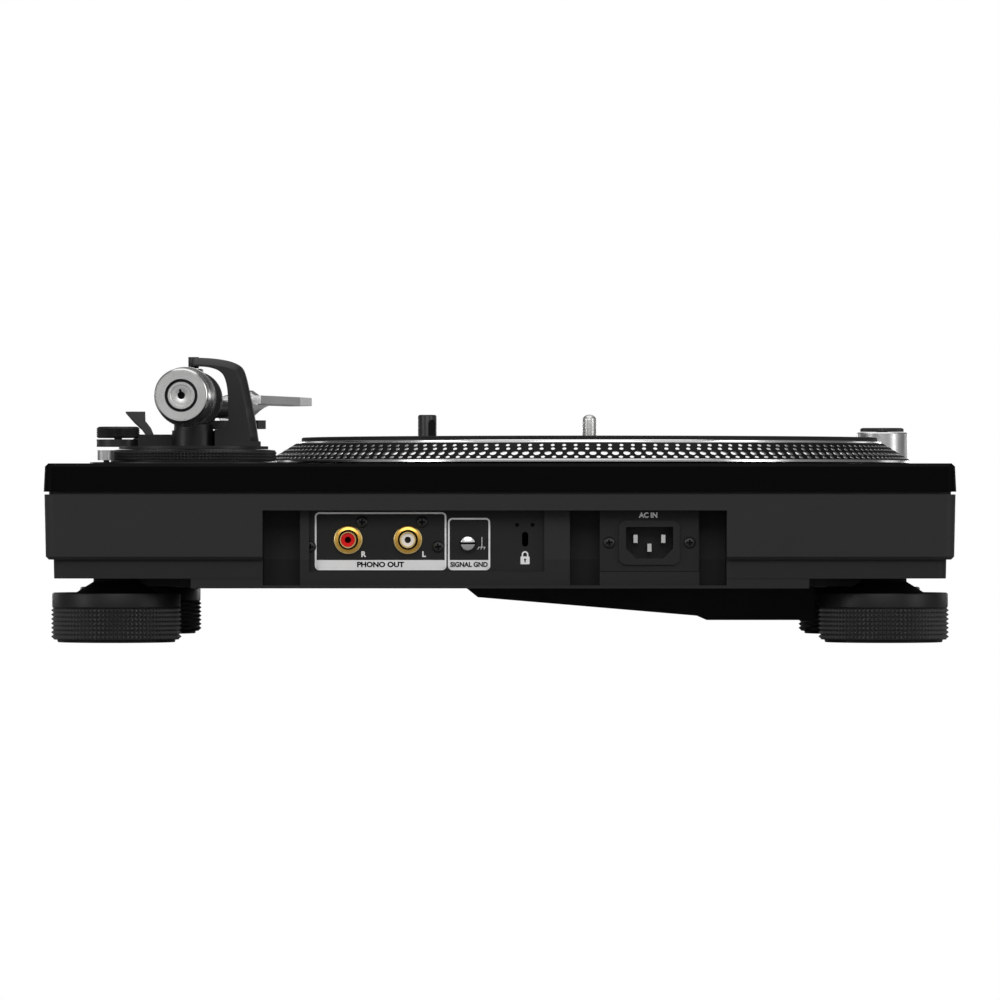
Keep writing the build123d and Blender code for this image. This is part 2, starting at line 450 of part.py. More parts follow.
with BuildPart() as mains_panel:
    z0 = TERMINAL_SEAT[2] + 1 + PANEL_GAP
    z1 = RECESS_TOP_Z - PANEL_GAP
    span(MAINS_X0 + PANEL_GAP, MAINS_X1 - PANEL_GAP, PANEL_Y, PANEL_Y + PANEL_T, z0, z1)
    with BuildSketch(rear_plane_at(PANEL_Y)):
        with Locations((-INLET_X, INLET_Z)):
            RectangleRounded(INLET_W, INLET_H, INLET_R)
    extrude(amount=PANEL_T, mode=Mode.SUBTRACT)
save(mains_panel, "mains_panel")

INLET_PLANE = Plane(origin=(INLET_X, PANEL_Y + PANEL_T + 1.4, INLET_Z), x_dir=(-1, 0, 0), z_dir=(0, 1, 0))
with BuildPart() as mains_inlet:
    with BuildSketch(INLET_PLANE):
        RectangleRounded(INLET_W, INLET_H, INLET_R)
    extrude(amount=-CAVITY_DEPTH - 4.0)
    with BuildSketch(INLET_PLANE):
        with BuildLine():
            Polyline(
                (-CAVITY_W / 2, CAVITY_H / 2),
                (CAVITY_W / 2, CAVITY_H / 2),
                (CAVITY_W / 2, CAVITY_CUT - CAVITY_H / 2),
                (CAVITY_W / 2 - CAVITY_CUT, -CAVITY_H / 2),
                (CAVITY_CUT - CAVITY_W / 2, -CAVITY_H / 2),
                (-CAVITY_W / 2, CAVITY_CUT - CAVITY_H / 2),
                close=True,
            )
        make_face()
    extrude(amount=-CAVITY_DEPTH, mode=Mode.SUBTRACT)
save(mains_inlet, "mains_inlet")

with BuildPart() as mains_pins:
    with BuildSketch(INLET_PLANE.offset(-CAVITY_DEPTH)):
        with Locations((-PIN_PITCH, PIN_UP), (PIN_PITCH, PIN_UP), (0, -EARTH_DOWN)):
            Rectangle(PIN_W, PIN_H)
    extrude(amount=PIN_L)
save(mains_pins, "mains_pins")

# ---------------------------------------------------------------- drive and platter

with BuildPart() as bearing_housing:
    upright(PLATTER_X, PLATTER_Y, BEARING_R, BEARING_Z, BEARING_TOP_Z)
    upright(PLATTER_X, PLATTER_Y, BEARING_FLANGE_R, TOP_BOTTOM_Z, TOP_BOTTOM_Z + BEARING_FLANGE_T)
    upright(PLATTER_X, PLATTER_Y, SHAFT_R + RUNNING_GAP, SHAFT_Z - 0.3, BEARING_TOP_Z, Mode.SUBTRACT)
save(bearing_housing, "bearing_housing")

with BuildPart() as motor_stator:
    upright(PLATTER_X, PLATTER_Y, STATOR_R1, TOP_BOTTOM_Z, TOP_BOTTOM_Z + STATOR_T)
    upright(PLATTER_X, PLATTER_Y, STATOR_R0, TOP_BOTTOM_Z, TOP_BOTTOM_Z + STATOR_T, Mode.SUBTRACT)
    with Locations((PLATTER_X, PLATTER_Y, (TOP_BOTTOM_Z + COIL_TOP_Z) / 2)):
        with PolarLocations((STATOR_R0 + STATOR_R1) / 2, COILS):
            Cylinder(COIL_R, COIL_TOP_Z - TOP_BOTTOM_Z)
            Cylinder(COIL_R / 2, COIL_TOP_Z - TOP_BOTTOM_Z, mode=Mode.SUBTRACT)
save(motor_stator, "motor_stator")


def turned(points):
    """Revolve a closed outline of radius and height about the vertical axis through the platter's centre."""
    with BuildSketch(Plane(origin=(PLATTER_X, PLATTER_Y, 0), x_dir=(1, 0, 0), z_dir=(0, -1, 0))) as outline:
        with BuildLine():
            Polyline(*points, close=True)
        make_face()
    revolve(outline.sketch, axis=Axis((PLATTER_X, PLATTER_Y, 0), (0, 0, 1)))


with BuildPart() as spindle:
    turned((
        (0, SHAFT_Z),
        (SHAFT_R, SHAFT_Z),
        (SHAFT_R, SHOULDER_Z),
        (SHOULDER_R, SHOULDER_Z),
        (SHOULDER_R, HUB_Z),
        (SHAFT_R, HUB_Z),
        (SHAFT_R, SHAFT_TOP_Z),
        (PIN_NECK_R, SHAFT_TOP_Z),
        (PIN_NECK_R, PIN_START_Z),
        (SPINDLE_R, PIN_START_Z),
        (SPINDLE_R, SPINDLE_TOP_Z),
        (0, SPINDLE_TOP_Z),
    ))
    fillet(spindle.faces().sort_by(Axis.Z)[-1].edges(), SPINDLE_R * 0.8)
save(spindle, "spindle")

with BuildPart() as platter:
    turned((
        (SHAFT_R, HUB_Z),
        (HUB_R, HUB_Z),
        (HUB_R, DECK_Z - DECK_T),
        (PLATTER_R - RIM_WALL, DECK_Z - DECK_T),
        (PLATTER_R - RIM_WALL, PLATTER_BOTTOM_Z),
        (PLATTER_R, PLATTER_BOTTOM_Z),
        (PLATTER_R, RIM_Z),
        (SLOPE_TOP_R, SLOPE_TOP_Z),
        (DECK_R, SLOPE_TOP_Z),
        (DECK_R, DECK_Z),
        (PLATTER_BORE_R, DECK_Z),
        (PLATTER_BORE_R, SHAFT_TOP_Z),
        (SHAFT_R, SHAFT_TOP_Z),
    ))
save(platter, "platter")

with BuildPart() as rotor_magnet:
    upright(PLATTER_X, PLATTER_Y, MAGNET_R1, MAGNET_Z, DECK_Z - DECK_T)
    upright(PLATTER_X, PLATTER_Y, MAGNET_R0, MAGNET_Z, DECK_Z - DECK_T, Mode.SUBTRACT)
save(rotor_magnet, "rotor_magnet")

with BuildPart() as mat:
    upright(PLATTER_X, PLATTER_Y, MAT_R, DECK_Z, MAT_Z)
    upright(PLATTER_X, PLATTER_Y, MAT_HOLE_R, DECK_Z, MAT_Z, Mode.SUBTRACT)
save(mat, "mat")

with BuildPart() as circuit_board:
    span(BOARD_X0, BOARD_X1, BOARD_Y0, BOARD_Y1, BOARD_Z, BOARD_Z + BOARD_T)
    span(BOARD_X0 + 14, BOARD_X0 + 44, BOARD_Y0 + 20, BOARD_Y0 + 50, BOARD_Z, BOARD_Z + 4)
    span(BOARD_X1 - 50, BOARD_X1 - 20, BOARD_Y0 + 30, BOARD_Y0 + 46, BOARD_Z, BOARD_Z + 14)
    for step in range(3):
        upright(BOARD_X0 + 60 + 14 * step, BOARD_Y1 - 16, 5, BOARD_Z, BOARD_Z + 16)
save(circuit_board, "circuit_board")

with BuildPart() as power_supply:
    floor_z = PAN_OUTLINE[3][1] + PAN_T
    with Locations((SUPPLY_X, SUPPLY_Y, floor_z + 1)):
        Box(SUPPLY_W, SUPPLY_D, 2)
    span(SUPPLY_X - 16, SUPPLY_X + 16, SUPPLY_Y - 22, SUPPLY_Y + 14, floor_z, floor_z + SUPPLY_H)
    for side in (-1, 1):
        upright(SUPPLY_X + side * 12, SUPPLY_Y + 38, 7, floor_z, floor_z + SUPPLY_H - 2)
save(power_supply, "power_supply")

# ---------------------------------------------------------------- controls


def button(x, y, width, depth, top):
    """A rectangular button cap with softened upper edges."""
    with BuildPart() as cap:
        span(x - width / 2, x + width / 2, y - depth / 2, y + depth / 2, top - BUTTON_H, top)
        fillet(cap.edges().filter_by(Axis.Z), 0.8)
        fillet(cap.faces().sort_by(Axis.Z)[-1].edges(), 0.4)
    return cap


save(button(START_X, START_Y, START_SIZE, START_SIZE, START_TOP_Z), "start_stop_button")
save(button(SPEED_X[0], SPEED_Y, SPEED_W, SPEED_D, SMALL_TOP_Z), "speed_button_33")
save(button(SPEED_X[1], SPEED_Y, SPEED_W, SPEED_D, SMALL_TOP_Z), "speed_button_45")
save(button(TEMPO_BUTTON_X, TEMPO_BUTTON_Y[0], TEMPO_BUTTON_W, TEMPO_BUTTON_D, SMALL_TOP_Z), "tempo_range_button")
save(button(TEMPO_BUTTON_X, TEMPO_BUTTON_Y[1], TEMPO_BUTTON_W, TEMPO_BUTTON_D, SMALL_TOP_Z), "reset_button")

with BuildPart() as tempo_scale_plate:
    with BuildSketch(Plane.XY.offset(TOP_Z)):
        with Locations((TEMPO_X, TEMPO_Y)):
            RectangleRounded(TEMPO_PLATE_W, TEMPO_PLATE_L, 2)
            Rectangle(TEMPO_SLOT_W, PITCH_SLOT, mode=Mode.SUBTRACT)
    extrude(amount=TEMPO_PLATE_T)
save(tempo_scale_plate, "tempo_scale_plate")

with BuildPart() as tempo_fader:
    with Locations((TEMPO_X, TEMPO_Y, (FADER_Z0 + FADER_Z1) / 2)):
        Box(FADER_W, FADER_L, FADER_Z1 - FADER_Z0)
    with Locations((TEMPO_X, TEMPO_Y, (FADER_Z0 + 2 + FADER_Z1) / 2)):
        Box(TEMPO_SLOT_W, PITCH_SLOT, FADER_Z1 - FADER_Z0 - 2, mode=Mode.SUBTRACT)
save(tempo_fader, "tempo_fader")

with BuildPart() as tempo_knob:
    width, length, height = TEMPO_KNOB
    knob_z = TOP_Z + TEMPO_PLATE_T + BUTTON_GAP
    with Locations((TEMPO_X, TEMPO_Y, knob_z + height / 2)):
        Box(width, length, height)
    fillet(tempo_knob.edges().filter_by(Axis.Z), 1.5)
    chamfer(tempo_knob.faces().sort_by(Axis.Z)[-1].edges(), 1.2)
    span(TEMPO_X - 1, TEMPO_X + 1, TEMPO_Y - 2, TEMPO_Y + 2, FADER_Z0 + 3, knob_z)
save(tempo_knob, "tempo_knob")

with BuildPart() as target_lamp:
    upright(LAMP_X, LAMP_Y, LAMP_R, LAMP_BOTTOM_Z, LAMP_TOP_Z)
    fillet(target_lamp.faces().sort_by(Axis.Z)[-1].edges(), 0.8)
save(target_lamp, "target_lamp")

WINDOW_TURN = (PLATTER_X - POD_X, PLATTER_Y - POD_Y, 0)
WINDOW_ACROSS = Vector(*WINDOW_TURN).cross(Vector(0, 0, 1))
WINDOW_PLANE = Plane(origin=(POD_X, POD_Y, WINDOW_Z), x_dir=WINDOW_ACROSS, z_dir=WINDOW_TURN)
with BuildPart() as strobe_pod:
    upright(POD_X, POD_Y, POD_R, TOP_Z, POD_TOP_Z)
    chamfer(strobe_pod.faces().sort_by(Axis.Z)[-1].edges(), 0.6)
    upright(POD_X, POD_Y, DIAL_STEM_R + RUNNING_GAP, POD_TOP_Z - DIAL_STEM_L, POD_TOP_Z, Mode.SUBTRACT)
    with BuildSketch(WINDOW_PLANE.offset(POD_R - WINDOW_T)):
        Rectangle(WINDOW_W, WINDOW_H)
    extrude(amount=2 * WINDOW_T, mode=Mode.SUBTRACT)
save(strobe_pod, "strobe_pod")

with BuildPart() as strobe_window:
    with BuildSketch(WINDOW_PLANE.offset(POD_R - WINDOW_T)):
        Rectangle(WINDOW_W, WINDOW_H)
    extrude(amount=WINDOW_T / 2)
save(strobe_window, "strobe_window")

with BuildPart() as power_dial:
    upright(POD_X, POD_Y, DIAL_R, DIAL_Z, DIAL_TOP_Z)
    chamfer(power_dial.faces().sort_by(Axis.Z)[-1].edges(), 0.5)
    upright(POD_X, POD_Y, DIAL_STEM_R, POD_TOP_Z - DIAL_STEM_L + 1, DIAL_Z)
save(power_dial, "power_dial")

# ---------------------------------------------------------------- tonearm base

with BuildPart() as tonearm_mount:
    upright(PIVOT_X, PIVOT_Y, MOUNT_R, TOP_Z, TOP_Z + MOUNT_T)
    upright(PIVOT_X, PIVOT_Y, SLEEVE_R1, SLEEVE_Z, TOP_Z)
    upright(PIVOT_X, PIVOT_Y, SLEEVE_R0, SLEEVE_Z, TOP_Z + MOUNT_T, Mode.SUBTRACT)
    upright(PLATTER_X, PLATTER_Y, PLATTER_R + 2, TOP_Z, TOP_Z + MOUNT_T, Mode.SUBTRACT)
    upright(LOCK_X, LOCK_Y, LOCK_PIN_R, TOP_Z + MOUNT_T, LOCK_Z1 - 1)
save(tonearm_mount, "tonearm_mount")

with BuildPart() as height_ring:
    upright(PIVOT_X, PIVOT_Y, RING_R, RING_Z0, RING_Z1)
    chamfer(height_ring.edges(), 0.5)
    upright(PIVOT_X, PIVOT_Y, SLEEVE_R0, RING_Z0, RING_Z1, Mode.SUBTRACT)
save(height_ring, "height_ring")

with BuildPart() as height_lock_lever:
    with BuildSketch(Plane.XY.offset(LOCK_Z0)):
        with Locations((LOCK_X, LOCK_Y + LOCK_L / 2 - LOCK_W / 2)):
            SlotOverall(LOCK_L, LOCK_W, rotation=90)
    extrude(amount=LOCK_Z1 - LOCK_Z0)
    upright(LOCK_X, LOCK_Y, LOCK_PIN_R + RUNNING_GAP, LOCK_Z0, LOCK_Z1 - 0.9, Mode.SUBTRACT)
save(height_lock_lever, "height_lock_lever")

REST_X, REST_Y = around_pivot(REST_R, ARM_IN)
LIFT_POST_X, LIFT_POST_Y = around_pivot((LIFT_R0 + LIFT_R1) / 2, LIFT_POST_ANGLE)
with BuildPart() as arm_base:
    upright(PIVOT_X, PIVOT_Y, STEM_R, SLEEVE_Z, BASE_PLATE_Z0)
    upright(PIVOT_X, PIVOT_Y, BASE_R, BASE_PLATE_Z0, BASE_PLATE_Z1)
    upright(PIVOT_X, PIVOT_Y, HOUSING_R, BASE_PLATE_Z1, HOUSING_Z)
    upright(PIVOT_X, PIVOT_Y, COLLAR_R, HOUSING_Z, COLLAR_Z)
    span(BLOCK_X0, BLOCK_X1, ARM_BLOCK_Y0, ARM_BLOCK_Y1, BASE_PLATE_Z0, BLOCK_Z)
    span(PILLAR_X0, PILLAR_X1, PILLAR_Y0 - 3, PILLAR_Y1, BASE_PLATE_Z0, PILLAR_FOOT_Z)
    span(REST_X - 8, REST_X + 12, REST_Y0, PIVOT_Y - BASE_R + 8, BASE_PLATE_Z0, BASE_PLATE_Z1 + 1.5)
    upright(SKATE_X, SKATE_Y, SKATE_BASE_R, SKATE_BASE_Z0, SKATE_BASE_Z1)
    span(BLOCK_X1 - 2, SKATE_X, SKATE_Y - 6, SKATE_Y + 4, SKATE_BASE_Z0, SKATE_BASE_Z1)
    cue_x0 = CUE_X - CUE_HUB_W / 2 - 0.4
    cue_x1 = CUE_X + CUE_HUB_W / 2 + 2.2
    span(cue_x0, cue_x1, ARM_BLOCK_Y0, CUE_Y + 9, CUE_Z - 4, BLOCK_Z, Mode.SUBTRACT)
    with Locations((CUE_X + 0.9, CUE_Y, CUE_Z)):
        Cylinder(CUE_PIN_R, CUE_HUB_W + 4, rotation=(0, 90, 0))
    upright(SKATE_X, SKATE_Y, SKATE_R + BUTTON_GAP, SKATE_Z0 - BUTTON_GAP, SKATE_Z1, Mode.SUBTRACT)
    upright(SKATE_X, SKATE_Y, SKATE_PIN_R, SKATE_BASE_Z1, SKATE_Z1 - 1.5)
    upright(LIFT_POST_X, LIFT_POST_Y, LIFT_POST_R + RUNNING_GAP, BASE_PLATE_Z0 + 1, BLOCK_Z, Mode.SUBTRACT)
    upright(PIVOT_X, PIVOT_Y, PIVOT_PIN_R + RUNNING_GAP, COLLAR_Z - 6, COLLAR_Z, Mode.SUBTRACT)
save(arm_base, "arm_base")

with BuildPart() as arch_post:
    with BuildSketch(Plane.XZ.offset(-PILLAR_Y1)):
        with BuildLine():
            Spline(*ARCH_OUTSIDE)
            Line(ARCH_OUTSIDE[-1], ARCH_INSIDE[0])
            Spline(*ARCH_INSIDE)
            ThreePointArc(ARCH_INSIDE[-1], *ARCH_FOOT_BLEND)
            Polyline(ARCH_FOOT_BLEND[-1], (PILLAR_X1, PILLAR_FOOT_Z), ARCH_OUTSIDE[0])
        make_face()
    extrude(amount=PILLAR_Y1 - PILLAR_Y0)
    rear_edges = arch_post.faces().sort_by(Axis.Y)[-1].edges()
    chamfer(rear_edges.sort_by(SortBy.LENGTH)[-1], ARCH_CHAMFER)
    upright(PIVOT_X, PIVOT_Y, ARCH_BOSS_R, ARCH_BOSS_UNDER_Z, ARCH_BOSS_Z)
    upright(PIVOT_X, PIVOT_Y, PIVOT_PIN_R, ARCH_BOSS_UNDER_Z - 3, ARCH_BOSS_UNDER_Z)
save(arch_post, "arch_post")

with BuildPart() as anti_skate_dial:
    upright(SKATE_X, SKATE_Y, SKATE_R, SKATE_Z0, SKATE_Z1)
    chamfer(anti_skate_dial.faces().sort_by(Axis.Z)[-1].edges(), 0.5)
    upright(SKATE_X, SKATE_Y, SKATE_PIN_R + RUNNING_GAP, SKATE_Z0, SKATE_Z1 - 1.2, Mode.SUBTRACT)
save(anti_skate_dial, "anti_skate_dial")

lean = radians(CUE_LEAN)
CUE_PLANE = Plane(origin=(CUE_X, CUE_Y, CUE_Z), x_dir=(1, 0, 0), z_dir=(0, -cos(lean), -sin(lean)))
with BuildPart() as cue_lever:
    with Locations((CUE_X, CUE_Y, CUE_Z)):
        Cylinder(CUE_HUB_R, CUE_HUB_W, rotation=(0, 90, 0))
    with BuildSketch(CUE_PLANE.offset(-1.4)):
        with BuildLine():
            Polyline(*CUE_OUTLINE, close=True)
        make_face()
    extrude(amount=2.8)
    with Locations((CUE_X, CUE_Y, CUE_Z)):
        Cylinder(CUE_PIN_R + RUNNING_GAP, CUE_HUB_W + 2, rotation=(0, 90, 0), mode=Mode.SUBTRACT)
save(cue_lever, "cue_lever")

with BuildPart() as cue_lifter:
    with BuildSketch(Plane.XY.offset(LIFT_Z0)):
        with Locations((PIVOT_X, PIVOT_Y)):
            ring_sketch(LIFT_R1, LIFT_R0)
        with BuildLine():
            Polyline(
                (PIVOT_X, PIVOT_Y),
                around_pivot(2 * LIFT_R1, LIFT_ANGLE0),
                around_pivot(2 * LIFT_R1, (LIFT_ANGLE0 + LIFT_ANGLE1) / 2),
                around_pivot(2 * LIFT_R1, LIFT_ANGLE1),
                close=True,
            )
        make_face(mode=Mode.INTERSECT)
    extrude(amount=LIFT_Z1 - LIFT_Z0)
    upright(LIFT_POST_X, LIFT_POST_Y, LIFT_POST_R, BASE_PLATE_Z0 + 1.3, LIFT_Z0)
save(cue_lifter, "cue_lifter")

ARM_ACROSS = (cos(radians(ARM_IN)), -sin(radians(ARM_IN)), 0)
REST_PLANE = Plane(origin=(REST_X, REST_Y, 0), x_dir=ARM_ACROSS, z_dir=(-STUB_X, -STUB_Y, 0))
with BuildPart() as arm_rest:
    with BuildSketch(REST_PLANE.offset(-REST_LENGTH / 2)):
        with BuildLine():
            Polyline(
                (-5.5, REST_LEDGE_Z - 5),
                (-5.5, REST_LEDGE_Z),
                (5.4, REST_LEDGE_Z),
                (5.4, REST_WALL_Z - 2),
                (CLIP_HINGE_OUT, REST_WALL_Z - 2),
                (CLIP_HINGE_OUT + 1.6, REST_LEDGE_Z - 5),
                close=True,
            )
        make_face()
    extrude(amount=REST_LENGTH)
    upright(REST_X, REST_Y, 3.2, BASE_PLATE_Z1 + 1.5, REST_LEDGE_Z - 4)
    with BuildSketch(REST_PLANE.offset(-REST_LENGTH / 2)):
        with Locations((CLIP_HINGE_OUT, CLIP_HINGE_Z)):
            Circle(0.9)
    extrude(amount=REST_LENGTH)
    with BuildSketch(REST_PLANE.offset(-REST_LENGTH / 2)):
        with Locations((CLIP_HINGE_OUT, CLIP_HINGE_Z - 1.8)):
            Rectangle(1.8, 4)
    extrude(amount=1.8)
    with BuildSketch(REST_PLANE.offset(REST_LENGTH / 2 - 1.8)):
        with Locations((CLIP_HINGE_OUT, CLIP_HINGE_Z - 1.8)):
            Rectangle(1.8, 4)
    extrude(amount=1.8)
save(arm_rest, "arm_rest")

CLIP_PLANE = Plane(
    origin=REST_PLANE.from_local_coords(Vector(CLIP_HINGE_OUT, CLIP_HINGE_Z, 0)),
    x_dir=REST_PLANE.from_local_coords(Vector(cos(radians(CLIP_OPEN)), -sin(radians(CLIP_OPEN)), 0))
    - REST_PLANE.from_local_coords(Vector(0, 0, 0)),
    z_dir=REST_PLANE.z_dir,
)
with BuildPart() as arm_clip:
    with BuildSketch(CLIP_PLANE.offset(2.1 - REST_LENGTH / 2)):
        with BuildLine():
            Polyline(*CLIP_OUTLINE, close=True)
        make_face()
        Circle(1.6)
        Circle(0.95, mode=Mode.SUBTRACT)
    extrude(amount=REST_LENGTH - 4.2)
save(arm_clip, "arm_clip")

# ---------------------------------------------------------------- tonearm

TILT_PLANE = Plane(origin=(PIVOT_X, PIVOT_Y, PIVOT_Z), x_dir=(0, 0, 1), z_dir=rear_plane(0).x_dir)
with BuildPart() as gimbal_ring:
    with BuildSketch(rear_plane(-GIMBAL_T / 2)):
        Circle(GIMBAL_R)
        Rectangle(9, 2 * (GIMBAL_TOP_Z - PIVOT_Z), align=(Align.CENTER, Align.CENTER), mode=Mode.ADD)
        with Locations((0, -GIMBAL_R - 2)):
            Rectangle(4 * GIMBAL_R, 2 * (GIMBAL_R + 2 - PIVOT_Z + GIMBAL_BOTTOM_Z), mode=Mode.SUBTRACT)
        Circle(GIMBAL_IN_R, mode=Mode.SUBTRACT)
    extrude(amount=GIMBAL_T)
    upright(PIVOT_X, PIVOT_Y, PIVOT_PIN_R + RUNNING_GAP, PIVOT_Z + GIMBAL_IN_R - 1, GIMBAL_TOP_Z + 1, Mode.SUBTRACT)
    upright(PIVOT_X, PIVOT_Y, PIVOT_PIN_R, COLLAR_Z - 5, GIMBAL_BOTTOM_Z + 1)
    with BuildSketch(TILT_PLANE.offset(-GIMBAL_R)):
        Circle(PIVOT_PIN_R + RUNNING_GAP)
    extrude(amount=2 * GIMBAL_R, mode=Mode.SUBTRACT)
save(gimbal_ring, "gimbal_ring")

BEND_1 = (TUBE_BEND_1[0] - PIVOT_X, TUBE_BEND_1[1] - PIVOT_Y)
BEND_2 = (TUBE_BEND_2[0] - PIVOT_X, TUBE_BEND_2[1] - PIVOT_Y)
TUBE_END = (SHELL_X - PIVOT_X + SHELL_AX * (COLLAR_START + 7), SHELL_Y - PIVOT_Y + SHELL_AY * (COLLAR_START + 7))
with BuildPart() as tonearm_tube:
    with BuildLine(ARM_PLANE) as tube_path:
        FilletPolyline((0, 0), BEND_1, BEND_2, TUBE_END, radius=[TUBE_BEND_R1, TUBE_BEND_R2])
    with BuildSketch(Plane(origin=tube_path.line @ 0, z_dir=tube_path.line % 0)):
        Circle(TUBE_R)
    sweep(path=tube_path.line)
    with BuildSketch(rear_plane(-HUB_BLOCK_L / 2)):
        Circle(HUB_BLOCK_R)
    extrude(amount=HUB_BLOCK_L)
    with BuildSketch(rear_plane(0)):
        Circle(STUB_R)
    extrude(amount=STUB_END)
    with BuildSketch(TILT_PLANE.offset(-GIMBAL_R + 1)):
        Circle(PIVOT_PIN_R)
    extrude(amount=2 * GIMBAL_R - 2)
save(tonearm_tube, "tonearm_tube")

with BuildPart() as counterweight_bush:
    with BuildSketch(rear_plane(BUSH_START)):
        Circle(BUSH_R)
    extrude(amount=BUSH_END - BUSH_START)
    with BuildSketch(rear_plane(BUSH_START)):
        Circle(STUB_R + 2 * RUNNING_GAP)
    extrude(amount=BUSH_END - BUSH_START - 3.5, mode=Mode.SUBTRACT)
    with BuildSketch(rear_plane(BUSH_START)):
        Circle(BUSH_HOLE_R)
    extrude(amount=BUSH_END - BUSH_START, mode=Mode.SUBTRACT)
save(counterweight_bush, "counterweight_bush")

with BuildPart() as counterweight:
    with BuildSketch(rear_plane(WEIGHT_START)):
        Circle(WEIGHT_R)
    extrude(amount=WEIGHT_BODY_START - WEIGHT_START)
    chamfer(counterweight.edges(), 0.5)
    with BuildSketch(rear_plane(WEIGHT_BODY_START)):
        Circle(WEIGHT_BODY_R)
    extrude(amount=WEIGHT_END - WEIGHT_EDGE - WEIGHT_BODY_START, taper=WEIGHT_TAPER)
    with BuildSketch(rear_plane(WEIGHT_END - WEIGHT_EDGE)):
        Circle(WEIGHT_EDGE_R)
    extrude(amount=WEIGHT_EDGE, taper=WEIGHT_EDGE_TAPER)
    with BuildSketch(rear_plane(DIAL_RING_START)):
        Circle(WEIGHT_HUB_R)
    extrude(amount=WEIGHT_START - DIAL_RING_START + 1)
    with BuildSketch(rear_plane(DIAL_RING_START)):
        Circle(WEIGHT_BORE_R)
    extrude(amount=WEIGHT_END - DIAL_RING_START, mode=Mode.SUBTRACT)
    with BuildSketch(rear_plane(WEIGHT_END - WEIGHT_GROOVE_D)):
        Circle(WEIGHT_GROOVE_R)
    extrude(amount=WEIGHT_GROOVE_D, mode=Mode.SUBTRACT)
save(counterweight, "counterweight")

with BuildPart() as pressure_ring:
    with BuildSketch(rear_plane(DIAL_RING_START)):
        ring_sketch(DIAL_RING_R, WEIGHT_HUB_R + 2 * RUNNING_GAP)
    extrude(amount=DIAL_RING_END - DIAL_RING_START)
save(pressure_ring, "pressure_ring")

with BuildPart() as locking_collar:
    with BuildSketch(shell_plane(COLLAR_START)):
        Circle(COLLAR_OUT_R)
    extrude(amount=COLLAR_END - COLLAR_START)
    chamfer(locking_collar.edges().filter_by(GeomType.CIRCLE), 0.6)
    with BuildSketch(shell_plane(COLLAR_START)):
        Circle(COLLAR_BORE_R)
    extrude(amount=COLLAR_END - COLLAR_START, mode=Mode.SUBTRACT)
save(locking_collar, "locking_collar")

SHELL_TOP = Plane(origin=SHELL_ORIGIN, x_dir=shell_plane(0).x_dir, z_dir=ARM_PLANE.z_dir)
with BuildPart() as headshell:
    with BuildSketch(shell_plane(COLLAR_START + 7.1)):
        Circle(TUBE_R - 0.2)
    extrude(amount=COLLAR_END - COLLAR_START - 6)
    with BuildSketch(shell_plane(COLLAR_END + 0.3)):
        Circle(COLLAR_OUT_R)
    with BuildSketch(shell_plane(NECK_END)):
        with Locations((0, SHELL_Z0 + 1)):
            Rectangle(SHELL_W - 2, 3)
    loft()
    with BuildSketch(SHELL_TOP.offset(SHELL_Z0)):
        with BuildLine():
            Polyline(
                (-SHELL_W / 2, -SHELL_START),
                (SHELL_W / 2, -SHELL_START),
                (SHELL_W / 2, -SHELL_END + 14),
                (SHELL_TIP_W / 2, -SHELL_END),
                (-SHELL_TIP_W / 2, -SHELL_END),
                (-SHELL_W / 2, -SHELL_END + 14),
                close=True,
            )
        make_face()
        with Locations((-CARTRIDGE_PITCH / 2, -CARTRIDGE_S), (CARTRIDGE_PITCH / 2, -CARTRIDGE_S)):
            SlotOverall(CARTRIDGE_SLOT_L, CARTRIDGE_SLOT_W, rotation=90, mode=Mode.SUBTRACT)
    extrude(amount=SHELL_Z1 - SHELL_Z0)
    with BuildSketch(shell_plane(SHELL_END - 16)):
        with BuildLine():
            Polyline(
                (SHELL_W / 2 - 1, SHELL_Z0 + 1),
                (SHELL_W / 2 - 1, SHELL_Z0 + 2.6),
                (SHELL_W / 2 + 7, SHELL_Z0 + 3.6),
                (SHELL_W / 2 + 15, SHELL_Z1 + 4),
                (SHELL_W / 2 + 16, SHELL_Z1 + 3),
                (SHELL_W / 2 + 8, SHELL_Z0 + 2.0),
                close=True,
            )
        make_face()
    extrude(amount=5)
save(headshell, "headshell")

# ---------------------------------------------------------------- feet


def foot_disc(x, y):
    """The knurled foot, turned by hand to level the deck."""
    with BuildPart() as disc:
        upright(x, y, FOOT_LIP_R, 0, FOOT_LIP_Z)
        upright(x, y, KNURL_R, FOOT_LIP_Z, KNURL_Z)
        upright(x, y, FOOT_R, KNURL_Z, FOOT_TOP_Z)
        upright(x, y, FOOT_BORE_R, FOOT_BORE_Z, FOOT_TOP_Z, Mode.SUBTRACT)
    return disc


def foot_mount(x, y):
    """The rubber dome with its threaded stud: it travels up and down in the base's insert."""
    with BuildPart() as mount:
        with Locations((x, y, (FOOT_TOP_Z + DOME_TOP_Z) / 2 + 0.1)):
            Cone(DOME_R, NECK_R, DOME_TOP_Z - FOOT_TOP_Z - 0.2)
        upright(x, y, NECK_R, DOME_TOP_Z - 1, NECK_TOP_Z)
        upright(x, y, STUD_R, FOOT_TOP_Z + 1, STUD_TOP_Z)
        upright(x, y, FOOT_BORE_R - RUNNING_GAP, FOOT_BORE_Z + 0.3, FOOT_TOP_Z + 1)
    return mount


for place, (foot_x, foot_y) in FOOT_PLACES.items():
    save(foot_disc(foot_x, foot_y), f"foot_disc_{place}")
    save(foot_mount(foot_x, foot_y), f"foot_mount_{place}")
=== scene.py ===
import json
import math

import bmesh
import bpy
from mathutils import Matrix, Vector


